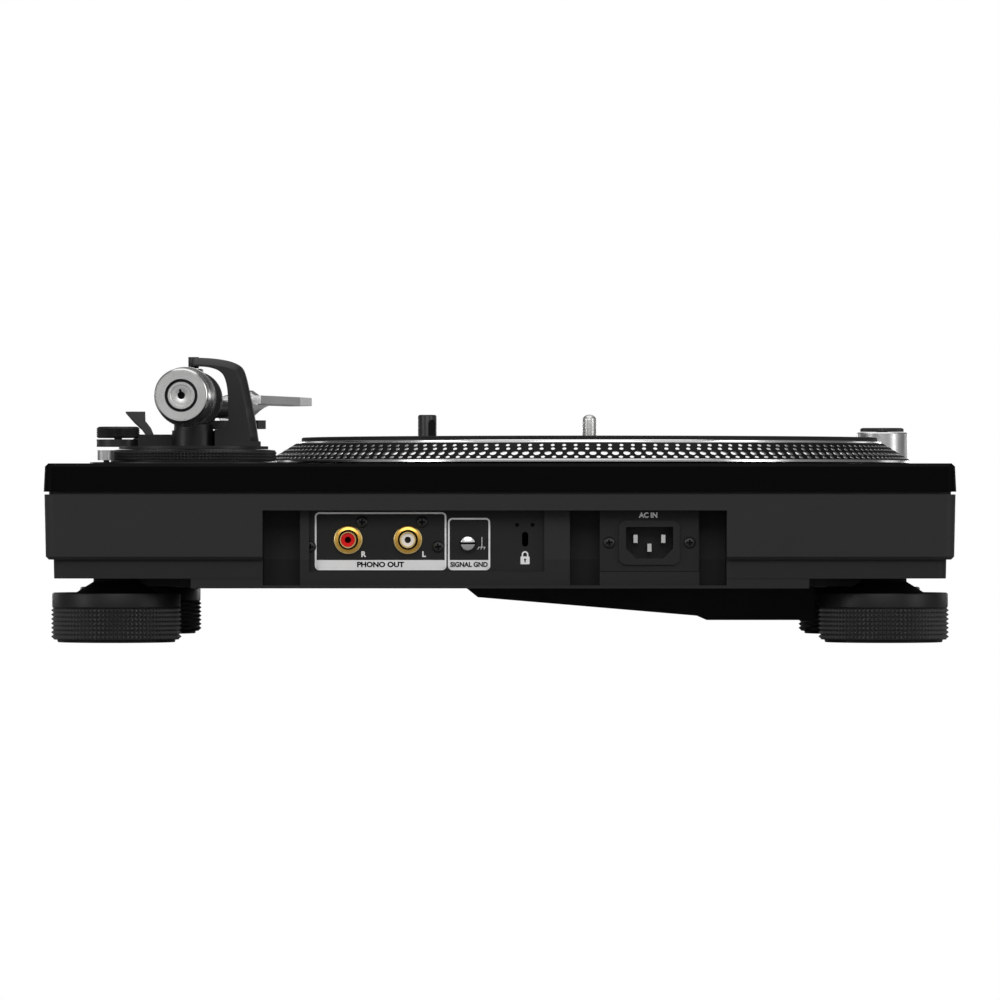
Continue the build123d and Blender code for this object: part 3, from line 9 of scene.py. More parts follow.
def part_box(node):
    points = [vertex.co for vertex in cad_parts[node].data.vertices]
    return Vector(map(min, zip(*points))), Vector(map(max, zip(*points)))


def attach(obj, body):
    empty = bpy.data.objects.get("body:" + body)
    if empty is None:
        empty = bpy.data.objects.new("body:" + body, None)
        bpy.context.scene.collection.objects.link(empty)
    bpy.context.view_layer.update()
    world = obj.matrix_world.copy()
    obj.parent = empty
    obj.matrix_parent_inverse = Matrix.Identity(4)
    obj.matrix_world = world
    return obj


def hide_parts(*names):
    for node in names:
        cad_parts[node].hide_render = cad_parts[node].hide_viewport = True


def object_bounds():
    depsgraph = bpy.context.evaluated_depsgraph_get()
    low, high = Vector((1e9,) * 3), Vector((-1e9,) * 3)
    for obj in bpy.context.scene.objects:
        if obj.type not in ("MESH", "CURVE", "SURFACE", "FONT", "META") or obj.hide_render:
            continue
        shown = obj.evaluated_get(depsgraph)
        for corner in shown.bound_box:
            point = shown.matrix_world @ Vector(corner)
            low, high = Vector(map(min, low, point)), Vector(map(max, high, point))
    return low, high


# Places are in metres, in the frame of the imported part: +X right, +Y to the rear, +Z up.
# The sizes of profiles and outlines are written in millimetres and scaled by MM.
MM = 0.001
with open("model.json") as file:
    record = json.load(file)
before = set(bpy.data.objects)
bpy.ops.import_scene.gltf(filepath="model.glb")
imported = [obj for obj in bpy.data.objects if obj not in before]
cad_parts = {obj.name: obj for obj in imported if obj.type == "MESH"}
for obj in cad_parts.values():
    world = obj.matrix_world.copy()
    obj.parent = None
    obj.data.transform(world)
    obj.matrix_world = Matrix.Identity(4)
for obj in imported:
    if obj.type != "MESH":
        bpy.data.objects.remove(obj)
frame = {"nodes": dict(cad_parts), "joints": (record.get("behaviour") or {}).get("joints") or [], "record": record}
cad_box = [list(corner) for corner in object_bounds()]
joints = {joint["name"]: joint for joint in frame["joints"]}
subparts = {part["node"]: part["material_slot"] for part in frame["record"]["subparts"]}


# ------------------------------------------------------------------ materials

# Noise scales in cycles per metre: slow clouds of tone and gloss, and fine turning marks.
CLOUD_SCALE, TURNING_SCALE = 38.0, 2500.0


def surface(name, colour, rough, metallic=0.0, specular=0.5, mottle=0.06, grain=1500.0, relief=0.02,
            uneven=0.06, coat=0.0, turned=None):
    """A moulded, painted or machined finish: uneven tone and gloss, and fine relief.

    mottle and uneven are how far the tone and the gloss stray, relief is the depth of the grain in
    millimetres, and turned gives the axis that turning marks run round.
    """
    material = bpy.data.materials.new(name)
    material.use_nodes = True
    nodes, links = material.node_tree.nodes, material.node_tree.links
    shader = nodes["Principled BSDF"]
    shader.inputs["Metallic"].default_value = metallic
    shader.inputs["Specular IOR Level"].default_value = specular
    shader.inputs["Coat Weight"].default_value = coat
    place = nodes.new("ShaderNodeTexCoord")

    cloud = nodes.new("ShaderNodeTexNoise")
    cloud.inputs["Scale"].default_value = CLOUD_SCALE
    cloud.inputs["Detail"].default_value = 5.0
    links.new(place.outputs["Object"], cloud.inputs["Vector"])
    tone = nodes.new("ShaderNodeValToRGB")
    dark, light = 1.0 - mottle, 1.0 + mottle
    tone.color_ramp.elements[0].position = 0.3
    tone.color_ramp.elements[1].position = 0.7
    tone.color_ramp.elements[0].color = [c * dark for c in colour] + [1]
    tone.color_ramp.elements[1].color = [min(1, c * light) for c in colour] + [1]
    links.new(cloud.outputs["Fac"], tone.inputs["Fac"])
    links.new(tone.outputs["Color"], shader.inputs["Base Color"])

    gloss = nodes.new("ShaderNodeMapRange")
    gloss.inputs["From Min"].default_value = 0.3
    gloss.inputs["From Max"].default_value = 0.7
    gloss.inputs["To Min"].default_value = max(0.02, rough - uneven)
    gloss.inputs["To Max"].default_value = min(1.0, rough + uneven)
    links.new(cloud.outputs["Fac"], gloss.inputs["Value"])
    links.new(gloss.outputs["Result"], shader.inputs["Roughness"])

    grains = nodes.new("ShaderNodeTexNoise")
    grains.inputs["Scale"].default_value = grain
    grains.inputs["Detail"].default_value = 2.0
    links.new(place.outputs["Object"], grains.inputs["Vector"])
    height = grains.outputs["Fac"]
    if turned is not None:
        centre, direction = turned
        flat = nodes.new("ShaderNodeVectorMath")
        flat.operation = "CROSS_PRODUCT"
        moved = nodes.new("ShaderNodeVectorMath")
        moved.operation = "SUBTRACT"
        moved.inputs[1].default_value = centre
        flat.inputs[1].default_value = direction
        radius = nodes.new("ShaderNodeVectorMath")
        radius.operation = "LENGTH"
        rings = nodes.new("ShaderNodeTexNoise")
        rings.noise_dimensions = "1D"
        rings.inputs["Scale"].default_value = TURNING_SCALE
        rings.inputs["Detail"].default_value = 3.0
        links.new(place.outputs["Object"], moved.inputs[0])
        links.new(moved.outputs["Vector"], flat.inputs[0])
        links.new(flat.outputs["Vector"], radius.inputs[0])
        links.new(radius.outputs["Value"], rings.inputs["W"])
        height = rings.outputs["Fac"]
    bump = nodes.new("ShaderNodeBump")
    bump.inputs["Strength"].default_value = 0.5
    bump.inputs["Distance"].default_value = relief * MM
    links.new(height, bump.inputs["Height"])
    links.new(bump.outputs["Normal"], shader.inputs["Normal"])
    return material


def turned_about(joint):
    """The point and the direction of a joint's axis, for turning marks."""
    return Vector(joints[joint]["pos_m"]), Vector(joints[joint]["axis"]).normalized()


PLATTER_AXIS = turned_about("platter_spin")
WEIGHT_AXIS = turned_about("weight_turn")
INK_LIGHT = (0.88, 0.88, 0.88)

finishes = {
    "black_cast": surface("black_cast", (0.0011, 0.0011, 0.0012), 0.46, specular=0.035, relief=0.025, grain=2600),
    "charcoal_shell": surface("charcoal_shell", (0.017, 0.017, 0.017), 0.55, specular=0.28, relief=0.03, grain=1900),
    "charcoal_base": surface("charcoal_base", (0.013, 0.013, 0.013), 0.60, specular=0.26, relief=0.03, grain=1900),
    "panel_black": surface("panel_black", (0.0095, 0.0095, 0.0095), 0.50, specular=0.26, relief=0.02, grain=3000),
    "inlet_plastic": surface("inlet_plastic", (0.009, 0.009, 0.009), 0.42, specular=0.3),
    "steel": surface("steel", (0.60, 0.60, 0.59), 0.38, 1.0, mottle=0.02, relief=0.0004, grain=250, uneven=0.02),
    "brass_insert": surface("brass_insert", (0.60, 0.42, 0.16), 0.35, 1.0),
    "gold": surface("gold", (0.95, 0.72, 0.32), 0.20, 1.0, relief=0.003),
    "red_plastic": surface("red_plastic", (0.72, 0.002, 0.004), 0.40, specular=0.25),
    "white_plastic": surface("white_plastic", (0.86, 0.82, 0.76), 0.42),
    "chrome_screw": surface("chrome_screw", (0.72, 0.72, 0.72), 0.24, 1.0, relief=0.003),
    "black_screw": surface("black_screw", (0.030, 0.030, 0.030), 0.34, 0.6),
    "copper_board": surface("copper_board", (0.55, 0.24, 0.11), 0.35, 0.8),
    "platter_aluminium": surface("platter_aluminium", (0.74, 0.74, 0.74), 0.20, 1.0, turned=PLATTER_AXIS, relief=0.006),
    "magnet": surface("magnet", (0.06, 0.06, 0.065), 0.5),
    "mat_rubber": surface("mat_rubber", (0.010, 0.010, 0.010), 0.78, specular=0.25, relief=0.03, grain=1400),
    "board": surface("board", (0.02, 0.10, 0.04), 0.5),
    "button_metal": surface("button_metal", (0.30, 0.30, 0.30), 0.34, 1.0, relief=0.01),
    "scale_plate": surface("scale_plate", (0.010, 0.010, 0.010), 0.42, specular=0.35),
    "knob_plastic": surface("knob_plastic", (0.016, 0.016, 0.016), 0.45),
    "lamp_black": surface("lamp_black", (0.009, 0.009, 0.009), 0.40, specular=0.45),
    "silver": surface("silver", (0.62, 0.62, 0.62), 0.33, 1.0, relief=0.004),
    "silver_weight": surface("silver_weight", (0.66, 0.66, 0.65), 0.27, 1.0, turned=WEIGHT_AXIS, relief=0.012),
    "strobe_lens": surface("strobe_lens", (0.35, 0.010, 0.010), 0.15, coat=0.4),
    "arm_black": surface("arm_black", (0.0095, 0.0095, 0.0095), 0.40, specular=0.38, relief=0.02, grain=2200),
    "arm_tube": surface("arm_tube", (0.020, 0.020, 0.021), 0.30, specular=0.5, relief=0.006),
    "foot_black": surface("foot_black", (0.009, 0.009, 0.009), 0.42, specular=0.26, relief=0.01),
    "foot_rubber": surface("foot_rubber", (0.006, 0.006, 0.006), 0.75, specular=0.15),
}
foot_knurl = surface("foot_knurl", (0.026, 0.026, 0.026), 0.38, specular=0.6, relief=0.006)
lever_silver = surface("lever_silver", (0.50, 0.50, 0.50), 0.50, 1.0, relief=0.004)
band_black = surface("platter_band_black", (0.003, 0.003, 0.003), 0.45, specular=0.06, relief=0.003,
                     turned=PLATTER_AXIS)
ink_light = surface("ink_light", INK_LIGHT, 0.6, specular=0.2, relief=0.002)
ink_band = surface("ink_band", (0.80, 0.80, 0.80), 0.6, specular=0.2, relief=0.002)
ink_dark = surface("ink_dark", (0.002, 0.002, 0.002), 0.6, specular=0.05, relief=0.002)
shadow_black = surface("shadow_black", (0.003, 0.003, 0.003), 0.8, specular=0.1)

for node, obj in frame["nodes"].items():
    obj.data.materials.clear()
    obj.data.materials.append(lever_silver if node == "height_lock_lever" else finishes[subparts[node]])


def soften(node, width):
    """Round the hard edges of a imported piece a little, so that they catch the light."""
    obj = frame["nodes"][node]
    weld = obj.modifiers.new("weld", "WELD")
    weld.merge_threshold = 0.02 * MM
    bevel = obj.modifiers.new("bevel", "BEVEL")
    bevel.width = width * MM
    bevel.segments = 2
    bevel.limit_method = "ANGLE"
    bevel.angle_limit = math.radians(40)
    bevel.use_clamp_overlap = True
    bevel.harden_normals = True


for node, width in (("arch_post", 0.7), ("headshell", 0.25), ("arm_rest", 0.25)):
    soften(node, width)


# ------------------------------------------------------------------ mesh helpers

def finished(name, mesh, body, materials, smooth=40.0, stands_for=()):
    """Link a mesh as a piece that rides on a body, materials and the nodes it stands for."""
    mesh.name = name
    obj = bpy.data.objects.new(name, mesh)
    bpy.context.scene.collection.objects.link(obj)
    for material in materials:
        mesh.materials.append(material)
    mesh.shade_smooth()
    mesh.set_sharp_from_angle(angle=math.radians(smooth))
    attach(obj, body)
    if stands_for:
        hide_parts(*stands_for)
    return obj


def placed(centre, direction):
    """A matrix that takes local +Z to a direction, at a point."""
    return Matrix.Translation(centre) @ direction.to_track_quat("Z", "Y").to_matrix().to_4x4()


def round_at(radius, angle, height):
    """The point at a radius and an angle about local Z, at a height, in metres from millimetres."""
    return Vector((radius * math.cos(angle), radius * math.sin(angle), height)) * MM


def add_lathe(bm, profile, matrix, segments=96, paint=0, closed=False):
    """Turn a profile of (radius, height) points in millimetres about local Z, and add it to a bmesh."""
    rings = []
    for radius, height in profile:
        if radius < 1e-6:
            rings.append([bm.verts.new(matrix @ Vector((0, 0, height * MM)))])
            continue
        step = 2 * math.pi / segments
        rings.append([bm.verts.new(matrix @ round_at(radius, i * step, height)) for i in range(segments)])
    pairs = list(zip(rings, rings[1:]))
    if closed:
        pairs.append((rings[-1], rings[0]))
    for a, b in pairs:
        for i in range(segments):
            j = (i + 1) % segments
            if len(a) == 1:
                corners = (a[0], b[j], b[i])
            elif len(b) == 1:
                corners = (a[i], a[j], b[0])
            else:
                corners = (a[i], a[j], b[j], b[i])
            bm.faces.new(corners).material_index = paint


def add_knurl(bm, matrix, r_low, r_high, z0, z1, rows, columns, paint=0):
    """Rows of four-sided points round a band, from radius r_low in the valleys to r_high at the tips."""
    def at(radius, angle, height):
        return bm.verts.new(matrix @ round_at(radius, angle, height))

    step, rise = 2 * math.pi / columns, (z1 - z0) / rows
    edge = [[at(r_low, i * step, z0 + k * rise) for i in range(columns)] for k in range(rows + 1)]
    for k in range(rows):
        for i in range(columns):
            j = (i + 1) % columns
            tip = at(r_high, (i + 0.5) * step, z0 + (k + 0.5) * rise)
            ring = (edge[k][i], edge[k][j], edge[k + 1][j], edge[k + 1][i])
            for a, b in zip(ring, ring[1:] + ring[:1]):
                bm.faces.new((a, b, tip)).material_index = paint


def add_flutes(bm, matrix, r_low, r_high, z0, z1, count, paint=0):
    """Straight ribs round a band, as on a coin's edge."""
    low, high = [], []
    for i in range(2 * count):
        angle = math.pi * i / count
        radius = r_high if i % 2 else r_low
        low.append(bm.verts.new(matrix @ round_at(radius, angle, z0)))
        high.append(bm.verts.new(matrix @ round_at(radius, angle, z1)))
    for i in range(2 * count):
        j = (i + 1) % (2 * count)
        bm.faces.new((low[i], low[j], high[j], high[i])).material_index = paint


def rounded(width, height, radius, steps=6):
    """The outline of a rounded rectangle about its middle, anticlockwise, in millimetres."""
    points = []
    for cx, cy, start in ((1, 1, 0), (-1, 1, 90), (-1, -1, 180), (1, -1, 270)):
        for k in range(steps + 1):
            angle = math.radians(start + 90 * k / steps)
            points.append((cx * (width / 2 - radius) + radius * math.cos(angle),
                           cy * (height / 2 - radius) + radius * math.sin(angle)))
    return points


def add_plate(bm, outline, matrix, lift, thick=0.03, paint=0, hole=None):
    """A thin printed shape, or a frame where hole is the inner outline with as many points."""
    def ring(points, z):
        return [bm.verts.new(matrix @ Vector((x * MM, y * MM, z * MM))) for x, y in points]

    low, high = ring(outline, lift), ring(outline, lift + thick)
    count = len(outline)
    made = []
    if hole is None:
        made += [bm.faces.new(high), bm.faces.new(low[::-1])]
    else:
        in_low, in_high = ring(hole, lift), ring(hole, lift + thick)
        for i in range(count):
            j = (i + 1) % count
            made.append(bm.faces.new((high[i], high[j], in_high[j], in_high[i])))
            made.append(bm.faces.new((low[j], low[i], in_low[i], in_low[j])))
            made.append(bm.faces.new((in_low[j], in_low[i], in_high[i], in_high[j])))
    for i in range(count):
        j = (i + 1) % count
        made.append(bm.faces.new((low[i], low[j], high[j], high[i])))
    for face in made:
        face.material_index = paint


def to_mesh(bm, merge=1e-6):
    """Merge, fix the normals and turn a bmesh into mesh data."""
    bmesh.ops.remove_doubles(bm, verts=bm.verts, dist=merge)
    bmesh.ops.recalc_face_normals(bm, faces=bm.faces)
    mesh = bpy.data.meshes.new("piece")
    bm.to_mesh(mesh)
    bm.free()
    return mesh


def upright(x, y, z=0.0):
    """A matrix that keeps local Z up, at a point."""
    return Matrix.Translation(Vector((x, y, z)))


def middle(node):
    """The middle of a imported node's box."""
    low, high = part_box(node)
    return (low + high) / 2


def round_size(node):
    """A round node's upright place, and its bottom, top and outer radius in millimetres."""
    low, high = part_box(node)
    centre, half = (low + high) / 2, (high - low) / 2
    return upright(centre.x, centre.y), low.z / MM, high.z / MM, half.x / MM


# ------------------------------------------------------------------ feet

def build_foot(where):
    """A foot's disc: a smooth collar, a knurled band and a small lip that stands on the ground."""
    node, body = f"foot_disc_{where}", f"foot_{where}"
    place, _, top, outer = round_size(node)
    knurl_z0, knurl_z1, knurl_low, bore = 1.7, 17.1, outer - 1.25, 4.05
    bm = bmesh.new()
    add_lathe(bm, (
        (bore, top - 0.4), (bore + 0.4, top), (outer - 1.3, top), (outer - 0.75, top - 0.25), (outer - 0.5, top - 0.9),
        (outer - 0.55, knurl_z1 + 0.7), (outer - 0.85, knurl_z1 + 0.15), (knurl_low, knurl_z1),
    ), place, 128)
    add_knurl(bm, place, knurl_low, outer, knurl_z0, knurl_z1, 7, 92, 1)
    add_lathe(bm, (
        (knurl_low, knurl_z0), (outer - 1.4, 1.35), (outer - 3.1, 1.3), (outer - 3.2, 0.35), (outer - 3.5, 0.0),
        (outer - 8.5, 0.0), (outer - 9.0, 1.1), (4.6, 1.1), (bore, 1.6), (bore, top - 0.4),
    ), place, 128)
    return finished(f"foot_knurled_{where}", to_mesh(bm), body,
                    [finishes["foot_black"], foot_knurl], 22, [node])


for end in ("front", "rear"):
    for side in ("left", "right"):
        build_foot(f"{end}_{side}")


# ------------------------------------------------------------------ platter, mat, spindle and lamp

# The platter's sloped edge runs from a low outer ring to the deck under the mat.
SLOPE_Z0, SLOPE_Z1, SLOPE_R1, DECK_R, DECK_UNDER_Z, SHAFT_R = 91.7, 100.2, 152.0, 151.0, 96.5, 6.0
# Rows of strobe dots on the slope: height, number, half width across, half width along the slope.
DOT_ROWS = ((98.5, 170, 1.05, 1.05), (96.7, 174, 1.1, 1.1), (94.55, 180, 1.75, 1.75), (92.6, 186, 1.15, 1.05))
# A dot is a low dome: shares of its width, each with its rise.
DOT_SECTION, DOT_SIDES = ((1.0, -0.1), (0.98, 0.07), (0.88, 0.14)), 14


def add_dot(bm, tilt, wide, long):
    """A raised dot about local Z, wide in Y and long in X."""
    step = 2 * math.pi / DOT_SIDES
    around = [(long * math.cos(k * step), wide * math.sin(k * step)) for k in range(DOT_SIDES)]
    rings = [[bm.verts.new(tilt @ (Vector((x * share, y * share, rise)) * MM)) for x, y in around]
             for share, rise in DOT_SECTION]
    for a, b in zip(rings, rings[1:]):
        for k in range(DOT_SIDES):
            m = (k + 1) % DOT_SIDES
            bm.faces.new((a[k], a[m], b[m], b[k]))
    bm.faces.new(rings[-1])


def build_platter():
    """The platter, hollow below, with a black sloped edge and bright strobe dots."""
    place, bottom, top, outer = round_size("platter")
    slope_r0, wall, hub, well_z, bore, neck_bore = outer - 0.2, outer - 9.0, 17.0, 95.9, SHAFT_R + 0.05, 3.68
    bm = bmesh.new()
    add_lathe(bm, ((bore, bottom), (hub, bottom), (hub, well_z), (wall, well_z), (wall, bottom + 0.3),
                   (wall + 0.4, bottom), (outer - 0.5, bottom), (outer, bottom + 0.4), (outer, SLOPE_Z0 - 0.3),
                   (slope_r0, SLOPE_Z0)), place, 256, 0)
    add_lathe(bm, ((slope_r0, SLOPE_Z0), (SLOPE_R1 + 0.3, SLOPE_Z1 - 0.1)), place, 256, 1)
    add_lathe(bm, ((SLOPE_R1 + 0.3, SLOPE_Z1 - 0.1), (SLOPE_R1, SLOPE_Z1 + 0.1), (DECK_R + 0.1, SLOPE_Z1 + 0.15),
                   (DECK_R, SLOPE_Z1 + 0.4), (DECK_R, top - 0.35), (DECK_R - 0.3, top), (149.2, top),
                   (149.0, top - 0.12), (12.0, top - 0.12), (11.5, top), (neck_bore, top),
                   (neck_bore, DECK_UNDER_Z), (bore, DECK_UNDER_Z), (bore, bottom)), place, 256, 0)
    slope = math.atan2(SLOPE_Z1 - SLOPE_Z0, slope_r0 - SLOPE_R1)
    for z, count, wide, long in DOT_ROWS:
        on_slope = upright((slope_r0 - (z - SLOPE_Z0) / math.tan(slope)) * MM, 0, z * MM)
        for i in range(count):
            turn = Matrix.Rotation(2 * math.pi * i / count, 4, "Z")
            add_dot(bm, place @ turn @ on_slope @ Matrix.Rotation(slope, 4, "Y"), wide, long)
    return finished("platter_strobe_rim", to_mesh(bm), "platter_body",
                    [finishes["platter_aluminium"], band_black], 25, ["platter"])


def build_mat():
    """The rubber mat, with round grooves between a plain middle and a plain rim."""
    place, bottom, top, outer = round_size("mat")
    profile = [(4.0, bottom), (4.0, top - 0.3), (4.3, top), (47.0, top), (47.5, top - 0.45), (49.5, top - 0.45),
               (50.0, top)]
    radius, groove_pitch = 54.0, 3.4
    while radius < outer - 12:
        profile += [(radius, top), (radius + 0.5, top - 0.28), (radius + 1.3, top - 0.28), (radius + 1.8, top)]
        radius += groove_pitch
    profile += [(outer - 8, top), (outer - 7.4, top - 0.35), (outer - 2.6, top - 0.35), (outer - 2.1, top),
                (outer - 0.5, top), (outer, top - 0.5), (outer, bottom)]
    bm = bmesh.new()
    add_lathe(bm, profile, place, 192, closed=True)
    return finished("mat_ribbed", to_mesh(bm), "platter_body", [finishes["mat_rubber"]], 30, ["mat"])


def build_spindle():
    """The shaft, the shoulder the platter sits on, the neck and the polished pin with its domed tip."""
    place, bottom, tip, _ = round_size("spindle")
    pin, neck, neck_top, shoulder, shoulder_z0, shoulder_z1, dome = 3.575, 3.4, 103.5, 9.0, 86.0, 90.0, 2.86
    rise = [math.radians(a) for a in range(0, 90, 10)]
    tip_profile = [(pin * math.cos(a), tip - dome + dome * math.sin(a)) for a in rise]
    bm = bmesh.new()
    add_lathe(bm, (
        (0, bottom), (SHAFT_R - 0.5, bottom), (SHAFT_R, bottom + 0.5), (SHAFT_R, shoulder_z0),
        (shoulder, shoulder_z0), (shoulder, shoulder_z1), (SHAFT_R, shoulder_z1), (SHAFT_R, DECK_UNDER_Z),
        (neck, DECK_UNDER_Z), (neck, neck_top), (pin, neck_top), *tip_profile, (0, tip),
    ), place, 96)
    return finished("spindle_turned", to_mesh(bm), "platter_body", [finishes["steel"]], 30, ["spindle"])


def add_wrapped(bm, width, height, corner, place, radius, low, high, paint, columns=12):
    """A rounded rectangle wrapped round a cylinder about local Z, from radius + low to radius + high."""
    layers = []
    for level in (low, high):
        layer = []
        for k in range(columns + 1):
            across = -math.cos(math.pi * k / columns) * width / 2
            past = max(0.0, abs(across) - (width / 2 - corner))
            reach = height / 2 - corner + math.sqrt(max(0.0, corner ** 2 - past ** 2))
            layer.append([bm.verts.new(place @ round_at(radius + level, across / radius, z)) for z in (-reach, reach)])
        layers.append(layer)
    inner, outer = layers
    made = []
    for k in range(columns):
        made += [(layer[k][0], layer[k][1], layer[k + 1][1], layer[k + 1][0]) for layer in layers]
        made += [(inner[k][end], inner[k + 1][end], outer[k + 1][end], outer[k][end]) for end in (0, 1)]
    made += [(inner[k][0], inner[k][1], outer[k][1], outer[k][0]) for k in (0, columns)]
    for corners in made:
        bm.faces.new(corners).material_index = paint


def build_lamp():
    """The pop-up lamp: a plain tube with an arched window towards the stylus, framed in painted shadow round a dark
    pane.
    """
    place, bottom, top, outer = round_size("target_lamp")
    window_down, window_heading = 7.5, math.radians(122)
    bm = bmesh.new()
    add_lathe(bm, ((0, bottom), (outer, bottom), (outer, top - 0.9), (outer - 0.2, top - 0.4), (outer - 0.7, top - 0.1),
                   (outer - 1.1, top), (0, top)), place, 72)
    face = place @ upright(0, 0, (top - window_down) * MM) @ Matrix.Rotation(window_heading, 4, "Z")
    # Painted shadow: the window's outer frame.
    add_wrapped(bm, 4.4, 9.6, 2.1, face, outer, -0.3, 0.06, 1)
    add_wrapped(bm, 3.4, 8.6, 1.6, face, outer, -0.2, 0.1, 2)
    return finished("target_lamp_windowed", to_mesh(bm, 1e-7), "lamp",
                    [finishes["lamp_black"], shadow_black, finishes["foot_rubber"]], 30, ["target_lamp"])


build_platter()
build_mat()
build_spindle()
build_lamp()


# ------------------------------------------------------------------ tonearm base dials

def build_height_ring():
    """The ring that sets the arm's height, knurled round its edge."""
    place, bottom, top, outer = round_size("height_ring")
    bore = 26.35
    bm = bmesh.new()
    add_lathe(bm, ((bore, top), (outer - 3.2, top), (outer - 2.9, top - 0.2), (outer - 1.0, top - 0.2),
                   (outer - 0.7, top - 0.5), (outer - 0.7, top - 0.9)), place, 160)
    add_knurl(bm, place, outer - 0.7, outer, bottom + 0.7, top - 0.9, 3, 150)
    add_lathe(bm, ((outer - 0.7, bottom + 0.7), (outer - 0.8, bottom), (bore, bottom), (bore, top)), place, 160)
    return finished("height_ring_knurled", to_mesh(bm), "ring", [finishes["arm_black"]], 22,
                    ["height_ring"])


def on_joint(name):
    """An upright matrix on a joint's axis, at ground height."""
    return upright(*joints[name]["pos_m"][:2])


def build_skate_dial():
    """The anti-skate dial: a knurled cap with a raised rim, on a short pin."""
    low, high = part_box("anti_skate_dial")
    place = on_joint("anti_skate_turn")
    bottom, top, outer, cap = low.z / MM, high.z / MM, 11.1, 102.8
    bm = bmesh.new()
    add_lathe(bm, ((0, top - 0.25), (7.4, top - 0.25), (7.6, top), (9.6, top), (10.3, top - 0.25),
                   (outer - 0.45, top - 0.7)), place, 120)
    add_knurl(bm, place, outer - 0.45, outer, cap + 0.5, top - 0.7, 5, 78)
    add_lathe(bm, ((outer - 0.45, cap + 0.5), (outer - 0.7, cap), (2.0, cap), (2.0, bottom), (0, bottom)), place, 120)
    return finished("anti_skate_dial_knurled", to_mesh(bm), "skate", [finishes["arm_black"]], 22,
                    ["anti_skate_dial"])


def build_power_dial():
    """The power dial: a ribbed cap with a shallow dish, on its stem."""
    low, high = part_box("power_dial")
    place = on_joint("power_dial_turn")
    bottom, top, outer, under, stem = low.z / MM, high.z / MM, (high.x - low.x) / 2 / MM, 107.3, 3.0
    bm = bmesh.new()
    add_lathe(bm, ((0, top - 0.3), (7.6, top - 0.3), (8.0, top), (outer - 0.9, top), (outer - 0.4, top - 0.4)),
              place, 96)
    add_flutes(bm, place, outer - 0.4, outer, under + 0.1, top - 0.4, 48)
    add_lathe(bm, ((outer - 0.4, top - 0.4), (outer, top - 0.4)), place, 96)
    add_lathe(bm, ((outer, under + 0.1), (outer - 0.4, under + 0.1), (stem, under), (stem, bottom), (0, bottom)),
              place, 96)
    return finished("power_dial_ribbed", to_mesh(bm), "power", [finishes["knob_plastic"]], 30,
                    ["power_dial"])


build_height_ring()
build_skate_dial()
build_power_dial()


# ------------------------------------------------------------------ counterweight

def along(node, axis):
    """How far along an axis a node reaches, in millimetres from the axis point."""
    point, direction = axis
    reach = [(v.co - point) @ direction / MM for v in frame["nodes"][node].data.vertices]
    return min(reach), max(reach)


def build_weight():
    """The counterweight: a knurled grip, a tapered body with a fine groove, and a hollow rear face."""
    s0, s1 = along("counterweight", WEIGHT_AXIS)
    knurl, body, bore = 15.2, 14.9, 7.2
    start = s0 + 5.5
    place = placed(*WEIGHT_AXIS)
    bm = bmesh.new()
    add_lathe(bm, ((bore, s0 + 0.2), (bore + 0.2, s0), (8.8, s0), (9.0, s0 + 0.2), (9.0, start), (knurl - 1.2, start),
                   (knurl - 0.55, start + 0.4)), place, 128)
    add_knurl(bm, place, knurl - 0.55, knurl, start + 0.4, start + 5.2, 4, 96)
    add_lathe(bm, ((knurl - 0.55, start + 5.2), (knurl - 0.8, start + 5.7), (body - 0.1, start + 6.1),
                   (body, start + 6.5), (13.95, s1 - 4.6), (13.8, s1 - 4.45), (13.78, s1 - 4.1), (13.88, s1 - 3.9),
                   (13.72, s1 - 1.5), (13.5, s1 - 0.9), (13.1, s1 - 0.35), (12.75, s1 - 0.12), (12.68, s1 - 0.3),
                   (12.45, s1 - 0.3), (12.35, s1 - 0.02), (8.3, s1)), place, 128)
    add_lathe(bm, ((8.3, s1), (8.0, s1 - 0.35), (8.0, s1 - 3.0), (bore, s1 - 3.0), (bore, s0 + 0.2)), place, 128, 1)
    return finished("counterweight_turned", to_mesh(bm), "weight",
                    [finishes["silver_weight"], finishes["arm_black"]], 22, ["counterweight"])


def build_pressure_ring():
    """The ribbed ring ahead of the counterweight that shows the stylus force."""
    s0, s1 = along("pressure_ring", WEIGHT_AXIS)
    outer, inner = 15.2, 9.1
    place = placed(*WEIGHT_AXIS)
    bm = bmesh.new()
    add_lathe(bm, ((inner, s0 + 0.3), (inner + 0.3, s0), (outer - 1.6, s0), (outer - 0.5, s0 + 0.7)), place, 120)
    add_flutes(bm, place, outer - 0.5, outer, s0 + 0.7, s1 - 0.3, 60)
    add_lathe(bm, ((outer - 0.5, s1 - 0.3), (outer - 0.8, s1), (inner, s1), (inner, s0 + 0.3)), place, 120)
    return finished("pressure_ring_ribbed", to_mesh(bm), "pressure_dial", [finishes["silver"]], 30,
                    ["pressure_ring"])


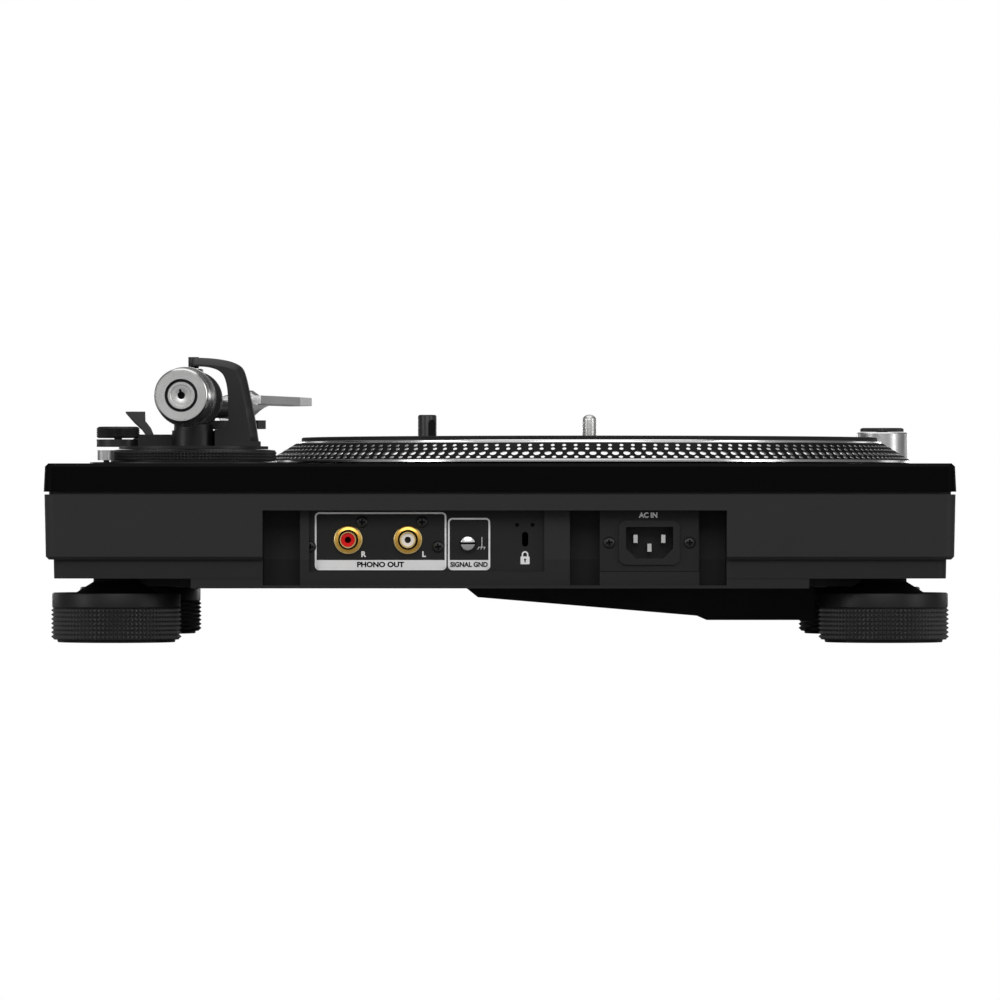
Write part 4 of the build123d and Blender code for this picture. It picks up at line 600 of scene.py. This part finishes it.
def build_bush():
    """The bush inside the counterweight, with a turned face and a centre hole whose floor and key are painted shadow.
    """
    s0, s1 = along("counterweight_bush", WEIGHT_AXIS)
    outer, bore, hole = 7.1, 5.1, 1.9
    place = placed(*WEIGHT_AXIS)
    bm = bmesh.new()
    add_lathe(bm, ((hole, s1 - 1.6), (hole, s1 - 0.35), (hole + 0.2, s1 - 0.3), (4.75, s1 - 0.3), (4.85, s1 - 0.5),
                   (5.15, s1 - 0.5), (5.25, s1 - 0.1), (5.4, s1), (outer - 0.35, s1), (outer, s1 - 0.35), (outer, s0),
                   (bore, s0), (bore, s1 - 3.5), (0.0, s1 - 3.5)), place, 96)
    # Painted shadow: the floor of the centre hole.
    add_lathe(bm, ((0.0, s1 - 1.6), (hole, s1 - 1.6)), place, 48, 1)
    # Painted shadow: a flat key shape on the face stands in for the keyway's shade.
    key = place @ Matrix.Rotation(math.radians(12), 4, "Z")
    outline = [(-0.62, 1.5), (0.62, 1.5), (0.62, 2.9), (0.3, 3.2), (-0.3, 3.2), (-0.62, 2.9)]
    add_plate(bm, outline, key, s1 - 0.32, 0.05, 1)
    return finished("weight_bush_turned", to_mesh(bm), "weight_carrier",
                    [finishes["silver_weight"], shadow_black], 22, ["counterweight_bush"])


build_weight()
build_pressure_ring()
build_bush()


# ------------------------------------------------------------------ rear sockets and screws

def rear_at(x, y, z):
    """Local Z looks to the rear, local X to the viewer's right, local Y up."""
    return Matrix(((-1, 0, 0, x), (0, 0, 1, y), (0, 1, 0, z), (0, 0, 0, 1)))


PANEL_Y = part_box("terminal_panel")[1].y
MAINS_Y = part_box("mains_panel")[1].y
# In millimetres: the middle of each screw in the terminal panel, and the pitch of the two by the inlet.
TERMINAL_SCREWS, INLET_PITCH = ((68.6, 60.3), (38.8, 60.3), (30.8, 48.0), (94.4, 48.0)), 40.0


def build_phono_jacks():
    """The gold flanges and shells of both phono sockets, with a ring of painted shadow between them."""
    bm = bmesh.new()
    for node in ("phono_insulator_red", "phono_insulator_white"):
        centre = middle(node)
        place = rear_at(centre.x, PANEL_Y, centre.z)
        add_lathe(bm, ((5.0, 0.05), (7.0, 0.05), (7.3, 0.35), (7.3, 0.9), (7.05, 1.35), (6.6, 1.55), (6.1, 1.45),
                       (5.4, 0.95), (5.0, 0.75)), place, 72, 0)
        # Painted shadow: the ring between the flange and the shell takes the shadow_black material.
        add_lathe(bm, ((5.0, 0.75), (4.75, 0.55), (4.25, 0.5)), place, 72, 1)
        add_lathe(bm, ((4.25, 0.5), (4.15, 0.7), (4.15, 8.6), (3.95, 9.0), (3.55, 9.0), (3.35, 8.7), (3.35, -9.8),
                       (5.0, -9.8), (5.0, 0.05)), place, 72, 0)
    return finished("phono_jacks", to_mesh(bm), "case", [finishes["gold"], shadow_black], 35,
                    ["phono_sockets"])


def add_screw(bm, matrix):
    """A domed head of 3.0 mm radius with a cross recess whose walls and floor are painted shadow, and its shank, about
    local Z.
    """
    half, arm, top, deep, crown, crown_z = 0.42, 1.55, 1.25, 0.35, 1.9, 1.2
    cross = ((arm, -half), (arm, half), (half, half), (half, arm), (-half, arm), (-half, half), (-arm, half),
             (-arm, -half), (-half, -half), (-half, -arm), (half, -arm), (half, -half))
    upper = [bm.verts.new(matrix @ Vector((x * MM, y * MM, top * MM))) for x, y in cross]
    lower = [bm.verts.new(matrix @ Vector((x * MM, y * MM, deep * MM))) for x, y in cross]
    rim = [bm.verts.new(matrix @ round_at(crown, i * math.pi / 24, crown_z)) for i in range(48)]
    edges = [bm.edges.new((ring[i - 1], ring[i])) for ring in (upper, rim) for i in range(len(ring))]
    bmesh.ops.triangle_fill(bm, use_beauty=True, use_dissolve=False, edges=edges)
    # Painted shadow: the walls and the floor of the cross recess take the second material.
    for i in range(len(cross)):
        bm.faces.new((upper[i - 1], upper[i], lower[i], lower[i - 1])).material_index = 1
    bm.faces.new(lower[::-1]).material_index = 1
    add_lathe(bm, ((crown, crown_z), (2.45, 0.92), (2.8, 0.55), (3.0, 0.12), (3.0, 0.0), (1.4, 0.0), (1.4, -1.2),
                   (0, -1.2)), matrix, 48)


def build_panel_screws():
    """Four screws in the terminal panel and two beside the inlet, each turned a little differently."""
    inlet = middle("mains_inlet")
    places = [(x * MM, PANEL_Y, z * MM) for x, z in TERMINAL_SCREWS]
    places += [(inlet.x + side * INLET_PITCH / 2 * MM, MAINS_Y, inlet.z) for side in (-1, 1)]
    bm = bmesh.new()
    for i, (x, y, z) in enumerate(places):
        add_screw(bm, rear_at(x, y, z) @ Matrix.Rotation(0.12 * (i % 3 - 1), 4, "Z"))
    return finished("panel_screw_heads", to_mesh(bm, 1e-7), "case",
                    [finishes["black_screw"], shadow_black], 35, ["panel_screws"])


def build_ground_screw():
    """A round thumb head with a slot right across it, the slot's floor painted shadow."""
    centre = middle("ground_screw")
    place = rear_at(centre.x, PANEL_Y, centre.z)
    radius, half, face, floor = 3.7, 0.55, 4.6, 3.3
    bm = bmesh.new()
    add_lathe(bm, ((0, -8.4), (1.4, -8.4), (1.4, 0.6), (radius - 0.3, 0.6), (radius, 0.9), (radius, floor - 0.3),
                   (radius - 0.02, floor)), place, 72)
    # Painted shadow: the floor of the slot.
    add_lathe(bm, ((radius - 0.02, floor), (0, floor)), place, 72, 1)
    for turn in (0.0, math.pi):
        rings = []
        for inset, height in ((0.0, floor), (0.0, face - 0.8), (0.25, face - 0.3), (0.8, face)):
            curve = radius - 0.05 - inset
            start = math.asin(half / curve)
            angles = [start + (math.pi - 2 * start) * k / 24 for k in range(25)]
            spin = place @ Matrix.Rotation(turn, 4, "Z")
            rings.append([bm.verts.new(spin @ round_at(curve, a, height)) for a in angles])
        for a, b in zip(rings, rings[1:]):
            for k in range(len(a)):
                m = (k + 1) % len(a)
                bm.faces.new((a[k], a[m], b[m], b[k]))
        bm.faces.new(rings[-1])
    return finished("ground_screw_slotted", to_mesh(bm, 1e-7), "ground_terminal",
                    [finishes["chrome_screw"], shadow_black], 30, ["ground_screw"])


build_phono_jacks()
build_panel_screws()
build_ground_screw()


# ------------------------------------------------------------------ printing

# Ink stands this far off a panel, and a second colour over the first this far, in millimetres.
INK, INK_OVER, INK_DIAL = 0.02, 0.055, 0.01

def add_words(bm, words, height, matrix, lift, width=None, paint=0, thick=0.03, weight=0.0):
    """Words in the built-in face, centred, with capitals of a height and, if given, a whole width in millimetres."""
    curve = bpy.data.curves.new("words", "FONT")
    curve.body = words
    curve.align_x = "CENTER"
    curve.align_y = "CENTER"
    curve.resolution_u = 4
    curve.offset = weight
    carrier = bpy.data.objects.new("words", curve)
    bpy.context.scene.collection.objects.link(carrier)
    bpy.context.view_layer.update()
    depsgraph = bpy.context.evaluated_depsgraph_get()
    mesh = bpy.data.meshes.new_from_object(carrier.evaluated_get(depsgraph))
    bpy.data.objects.remove(carrier)
    xs, ys = [v.co.x for v in mesh.vertices], [v.co.y for v in mesh.vertices]
    x0, x1, y0, y1 = min(xs), max(xs), min(ys), max(ys)
    sy = height / (y1 - y0)
    sx = sy if width is None else width / (x1 - x0)
    to_middle = Matrix.Translation((-(x0 + x1) / 2, -(y0 + y1) / 2, 0))
    mesh.transform(Matrix.Diagonal((sx * MM, sy * MM, 1, 1)) @ to_middle)
    flat = bmesh.new()
    flat.from_mesh(mesh)
    for vert in flat.verts:
        vert.co.z = lift * MM
    grown = bmesh.ops.extrude_face_region(flat, geom=list(flat.faces))
    for item in grown["geom"]:
        if isinstance(item, bmesh.types.BMVert):
            item.co.z = (lift + thick) * MM
    for face in flat.faces:
        face.material_index = paint
    flat.transform(matrix)
    done = bpy.data.meshes.new("words")
    flat.to_mesh(done)
    flat.free()
    bm.from_mesh(done)


def arc(radius, start, stop, step, up=0.0):
    """Points on an arc about local Z, from a start to a stop in degrees, moved up by a distance."""
    angles = [math.radians(a) for a in range(start, stop, step)]
    return [(radius * math.cos(a), up + radius * math.sin(a)) for a in angles]


def add_box_plate(bm, x0, x1, y0, y1, matrix, lift=INK, paint=0):
    """A printed rectangle between two corners."""
    add_plate(bm, [(x0, y0), (x1, y0), (x1, y1), (x0, y1)], matrix, lift, paint=paint)


def add_label_frame(bm, x0, x1, top, words, letter_height, words_width):
    """A rounded frame with a solid band at its foot that carries dark words."""
    bottom, line, band_top, corner, inner_corner = 36.3, 0.85, 41.3, 2.2, 1.4
    middle_x, wide, high = (x0 + x1) / 2 * MM, x1 - x0, top - bottom
    place = rear_at(middle_x, PANEL_Y, (top + bottom) / 2 * MM)
    add_plate(bm, rounded(wide, high, corner), place, INK, hole=rounded(wide - 2 * line, high - 2 * line, inner_corner))
    band = rear_at(middle_x, PANEL_Y, (band_top + bottom + line) / 2 * MM)
    add_plate(bm, rounded(wide - 2 * line + 0.1, band_top - bottom - line + 0.05, 0.3), band, INK, paint=1)
    add_words(bm, words, letter_height, band @ upright(0, -0.1 * MM), INK_OVER, words_width, 2, weight=0.045)


def add_earth_sign(bm, place):
    """A wire down to a bar, with three slanted strokes under it."""
    add_box_plate(bm, -0.14, 0.14, -1.9, 2.9, place)
    add_box_plate(bm, -1.7, 1.7, -2.15, -1.9, place)
    for x in (-1.55, 0.0, 1.55):
        add_plate(bm, [(x - 0.7, -3.1), (x - 0.4, -3.1), (x + 0.12, -2.1), (x - 0.18, -2.1)], place, 0.022)


def add_padlock_sign(bm, place):
    """A plain padlock: a body with a keyhole, and a shackle."""
    shackle_r, shackle_in_r, shackle_z, foot = 1.65, 0.95, 2.9, 1.9
    add_plate(bm, rounded(4.5, 3.9, 0.35), place, INK)
    outside, inside = (arc(r, 0, 181, 15, shackle_z) for r in (shackle_r, shackle_in_r))
    outline = [(shackle_r, foot)] + outside + [(-shackle_r, foot), (-shackle_in_r, foot)]
    add_plate(bm, outline + inside[::-1] + [(shackle_in_r, foot)], place, INK)
    add_plate(bm, arc(0.55, 0, 360, 30, 0.35), place, INK_OVER, paint=2)
    add_box_plate(bm, -0.25, 0.25, -1.1, 0.2, place, INK_OVER, 2)


def build_terminal_print():
    """The frames, bands, letters and signs printed on the terminal panel, and two dark rivets."""
    bm = bmesh.new()
    add_label_frame(bm, 26.66, 92.1, 65.1, "PHONO OUT", 2.75, 23.4)
    add_label_frame(bm, 4.87, 25.9, 62.3, "SIGNAL GND", 2.6, 18.6)
    for letter, x in (("R", 67.75), ("L", 37.75)):
        add_words(bm, letter, 2.9, rear_at(x * MM, PANEL_Y, 44.3 * MM), INK, weight=0.04)
    add_earth_sign(bm, rear_at(9.0 * MM, PANEL_Y, 49.8 * MM))
    add_padlock_sign(bm, rear_at(-12.45 * MM, PANEL_Y, 41.2 * MM))
    rivet = ((0, 0.02), (0.45, 0.03), (0.62, 0.12), (0.85, 0.12), (1.0, 0.0))
    for x in (-8.5, -16.2):
        add_lathe(bm, rivet, rear_at(x * MM, PANEL_Y, 58.8 * MM), 24, 2)
    return finished("terminal_printing", to_mesh(bm, 1e-7), "case", [ink_light, ink_band, ink_dark], 30)


def build_mains_print():
    """The words over the inlet."""
    bm = bmesh.new()
    add_words(bm, "AC IN", 2.75, rear_at(-73.6 * MM, MAINS_Y, 63.7 * MM), INK, 9.2, weight=0.04)
    return finished("mains_printing", to_mesh(bm, 1e-7), "case", [ink_light], 30)


build_terminal_print()
build_mains_print()


def top_of(node):
    """The middle of a node's upper face, as a matrix with local Y to the rear."""
    low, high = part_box(node)
    return Matrix.Translation(((low.x + high.x) / 2, (low.y + high.y) / 2, high.z))


def build_button_print(node, body, lines, height, name):
    """Words or figures on the upper face of a button, in one or two lines."""
    bm = bmesh.new()
    for i, words in enumerate(lines):
        drop = (len(lines) - 1) / 2 - i
        place = top_of(node) @ upright(0, drop * 2.0 * height * MM)
        add_words(bm, words, height, place, 0.015, thick=0.02, weight=0.015)
    return finished(name, to_mesh(bm, 1e-7), body, [ink_dark], 30)


def build_tempo_scale():
    """Ticks and figures beside the tempo slot."""
    centre = top_of("tempo_scale_plate")
    steps, travel, tick_start, figure_x = 8, 50.0, 3.4, 10.4
    bm = bmesh.new()
    for step in range(-steps, steps + 1):
        up = step * travel / steps * MM
        long = 4.6 if step == 0 else 3.4 if step % 2 == 0 else 2.0
        for side in (-1, 1):
            tick = centre @ upright(side * (tick_start + long / 2) * MM, up)
            add_plate(bm, rounded(long, 0.32, 0.1, 2), tick, INK_DIAL)
        if step % 2 == 0:
            add_words(bm, str(abs(step)), 1.9, centre @ upright(figure_x * MM, up), INK_DIAL, weight=0.01)
    return finished("tempo_scale_printing", to_mesh(bm, 1e-7), "case", [ink_light], 30)


def build_knob_line():
    """The white line across the tempo knob."""
    bm = bmesh.new()
    add_plate(bm, rounded(9.0, 0.9, 0.3, 2), top_of("tempo_knob"), INK_DIAL)
    return finished("tempo_knob_line", to_mesh(bm, 1e-7), "tempo_slider", [ink_light], 30)


def build_skate_figures():
    """The figures 0 to 7 round the upper face of the anti-skate dial."""
    radius, height, marks = 8.6, 1.5, "01234567"
    centre = on_joint("anti_skate_turn") @ upright(0, 0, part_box("anti_skate_dial")[1].z)
    bm = bmesh.new()
    for i, figure in enumerate(marks):
        turn = Matrix.Rotation(-2 * math.pi * i / len(marks), 4, "Z")
        add_words(bm, figure, height, centre @ turn @ upright(0, radius * MM), 0.012, weight=0.01)
    return finished("skate_figures", to_mesh(bm, 1e-7), "skate", [ink_light], 30)


def build_ring_scale():
    """Height marks round the upper face of the height ring."""
    marks, sweep, reach = 60, math.radians(300), 40.6
    place, _, top, _ = round_size("height_ring")
    bm = bmesh.new()
    for i in range(marks + 1):
        turn = Matrix.Rotation(-sweep * i / marks, 4, "Z")
        long = 1.9 if i % 10 == 0 else 1.1
        mark = place @ upright(0, 0, top * MM) @ turn @ upright(0, (reach - long / 2) * MM)
        add_plate(bm, rounded(0.28, long, 0.08, 2), mark, 0.008, thick=0.02)
    return finished("ring_scale", to_mesh(bm, 1e-7), "ring", [ink_light], 30)


build_button_print("start_stop_button", "start_stop", ("START", "STOP"), 2.3, "start_stop_words")
build_button_print("speed_button_33", "speed_33", ("33",), 3.0, "speed_33_figures")
build_button_print("speed_button_45", "speed_45", ("45",), 3.0, "speed_45_figures")
build_tempo_scale()
build_knob_line()
build_skate_figures()
build_ring_scale()


# ------------------------------------------------------------------ stage, camera and light

AMBIENT_FRONT, AMBIENT_REAR, FLOOR_TONE = 0.10, 0.55, 0.35
FLOOR_REACH, FLOOR_Z = 9.0, -0.0004
# Name, place, aim, width, height and radiance of each softbox.
SOFTBOXES = [
    ("overhead", (0, -0.2, 2.0), (0, 0, 0.1), 1.9, 2.4, 1.3),
    ("rear_fill", (0, 2.9, 1.5), (0, 0.17, 0.06), 2.2, 1.3, 2.6),
]
for side, word in ((-1, "left"), (1, "right")):
    SOFTBOXES += [
        (f"side_{word}", (side * 1.75, 1.05, 0.55), (0, 0, 0.09), 0.55, 1.5, 3.6),
        (f"edge_{word}", (side * 1.5, -1.3, 0.32), (side * 0.1, 0.1, 0.12), 0.5, 0.5, 1.2),
        (f"low_{word}", (side * 0.85, -2.25, 0.17), (side * 0.15, 0.12, 0.12), 0.5, 0.14, 7.0),
    ]
CAMERA_DISTANCE, CAMERA_Z, LENS, SENSOR = 3.9, 0.0712, 283.3, 36.0


def build_stage():
    """A plain pale floor that the camera sees as white."""
    bm = bmesh.new()
    bm.faces.new([bm.verts.new((x * FLOOR_REACH, y * FLOOR_REACH, FLOOR_Z))
                  for x, y in ((-1, -1), (1, -1), (1, 1), (-1, 1))])
    mesh = bpy.data.meshes.new("floor")
    bm.to_mesh(mesh)
    bm.free()
    floor = bpy.data.objects.new("floor", mesh)
    bpy.context.scene.collection.objects.link(floor)
    material = bpy.data.materials.new("floor_white")
    material.use_nodes = True
    nodes, links = material.node_tree.nodes, material.node_tree.links
    out = nodes["Material Output"]
    path = nodes.new("ShaderNodeLightPath")
    glow = nodes.new("ShaderNodeEmission")
    glow.inputs["Color"].default_value = (1, 1, 1, 1)
    plain = nodes.new("ShaderNodeBsdfDiffuse")
    plain.inputs["Color"].default_value = (FLOOR_TONE, FLOOR_TONE, FLOOR_TONE, 1)
    mix = nodes.new("ShaderNodeMixShader")
    links.new(path.outputs["Is Camera Ray"], mix.inputs["Fac"])
    links.new(plain.outputs["BSDF"], mix.inputs[1])
    links.new(glow.outputs["Emission"], mix.inputs[2])
    links.new(mix.outputs["Shader"], out.inputs["Surface"])
    mesh.materials.append(material)


def build_world():
    """Soft light, brighter from the rear than from the front, that the camera sees as plain white."""
    world = bpy.data.worlds.new("studio")
    bpy.context.scene.world = world
    world.use_nodes = True
    nodes, links = world.node_tree.nodes, world.node_tree.links
    place = nodes.new("ShaderNodeTexCoord")
    parts = nodes.new("ShaderNodeSeparateXYZ")
    links.new(place.outputs["Generated"], parts.inputs["Vector"])
    level = nodes.new("ShaderNodeMapRange")
    level.inputs["From Min"].default_value = -0.6
    level.inputs["From Max"].default_value = 0.8
    level.inputs["To Min"].default_value = AMBIENT_FRONT
    level.inputs["To Max"].default_value = AMBIENT_REAR
    links.new(parts.outputs["Y"], level.inputs["Value"])
    back = nodes["Background"]
    back.inputs["Color"].default_value = (1, 1, 1, 1)
    links.new(level.outputs["Result"], back.inputs["Strength"])
    seen = nodes.new("ShaderNodeBackground")
    seen.inputs["Color"].default_value = (1, 1, 1, 1)
    path = nodes.new("ShaderNodeLightPath")
    mix = nodes.new("ShaderNodeMixShader")
    links.new(path.outputs["Is Camera Ray"], mix.inputs["Fac"])
    links.new(back.outputs["Background"], mix.inputs[1])
    links.new(seen.outputs["Background"], mix.inputs[2])
    links.new(mix.outputs["Shader"], nodes["World Output"].inputs["Surface"])


def softbox(name, place, aim, wide, high, radiance):
    """A rectangular lamp at a place, facing an aim, that the camera doesn't see."""
    light = bpy.data.lights.new(name, "AREA")
    light.shape = "RECTANGLE"
    light.size, light.size_y = wide, high
    light.energy = radiance * math.pi * wide * high
    lamp = bpy.data.objects.new(name, light)
    bpy.context.scene.collection.objects.link(lamp)
    lamp.location = place
    lamp.rotation_euler = (Vector(aim) - Vector(place)).to_track_quat("-Z", "Y").to_euler()
    lamp.visible_camera = False


build_stage()
build_world()
for box in SOFTBOXES:
    softbox(*box)

camera_data = bpy.data.cameras.new("camera")
camera_data.lens, camera_data.sensor_width = LENS, SENSOR
camera_data.clip_end = 30
camera = bpy.data.objects.new("camera", camera_data)
bpy.context.scene.collection.objects.link(camera)
camera.location = (0, cad_box[1][1] + CAMERA_DISTANCE, CAMERA_Z)
camera.rotation_euler = (math.pi / 2, 0, math.pi)
bpy.context.scene.camera = camera
bpy.context.scene.view_settings.view_transform = "Standard"
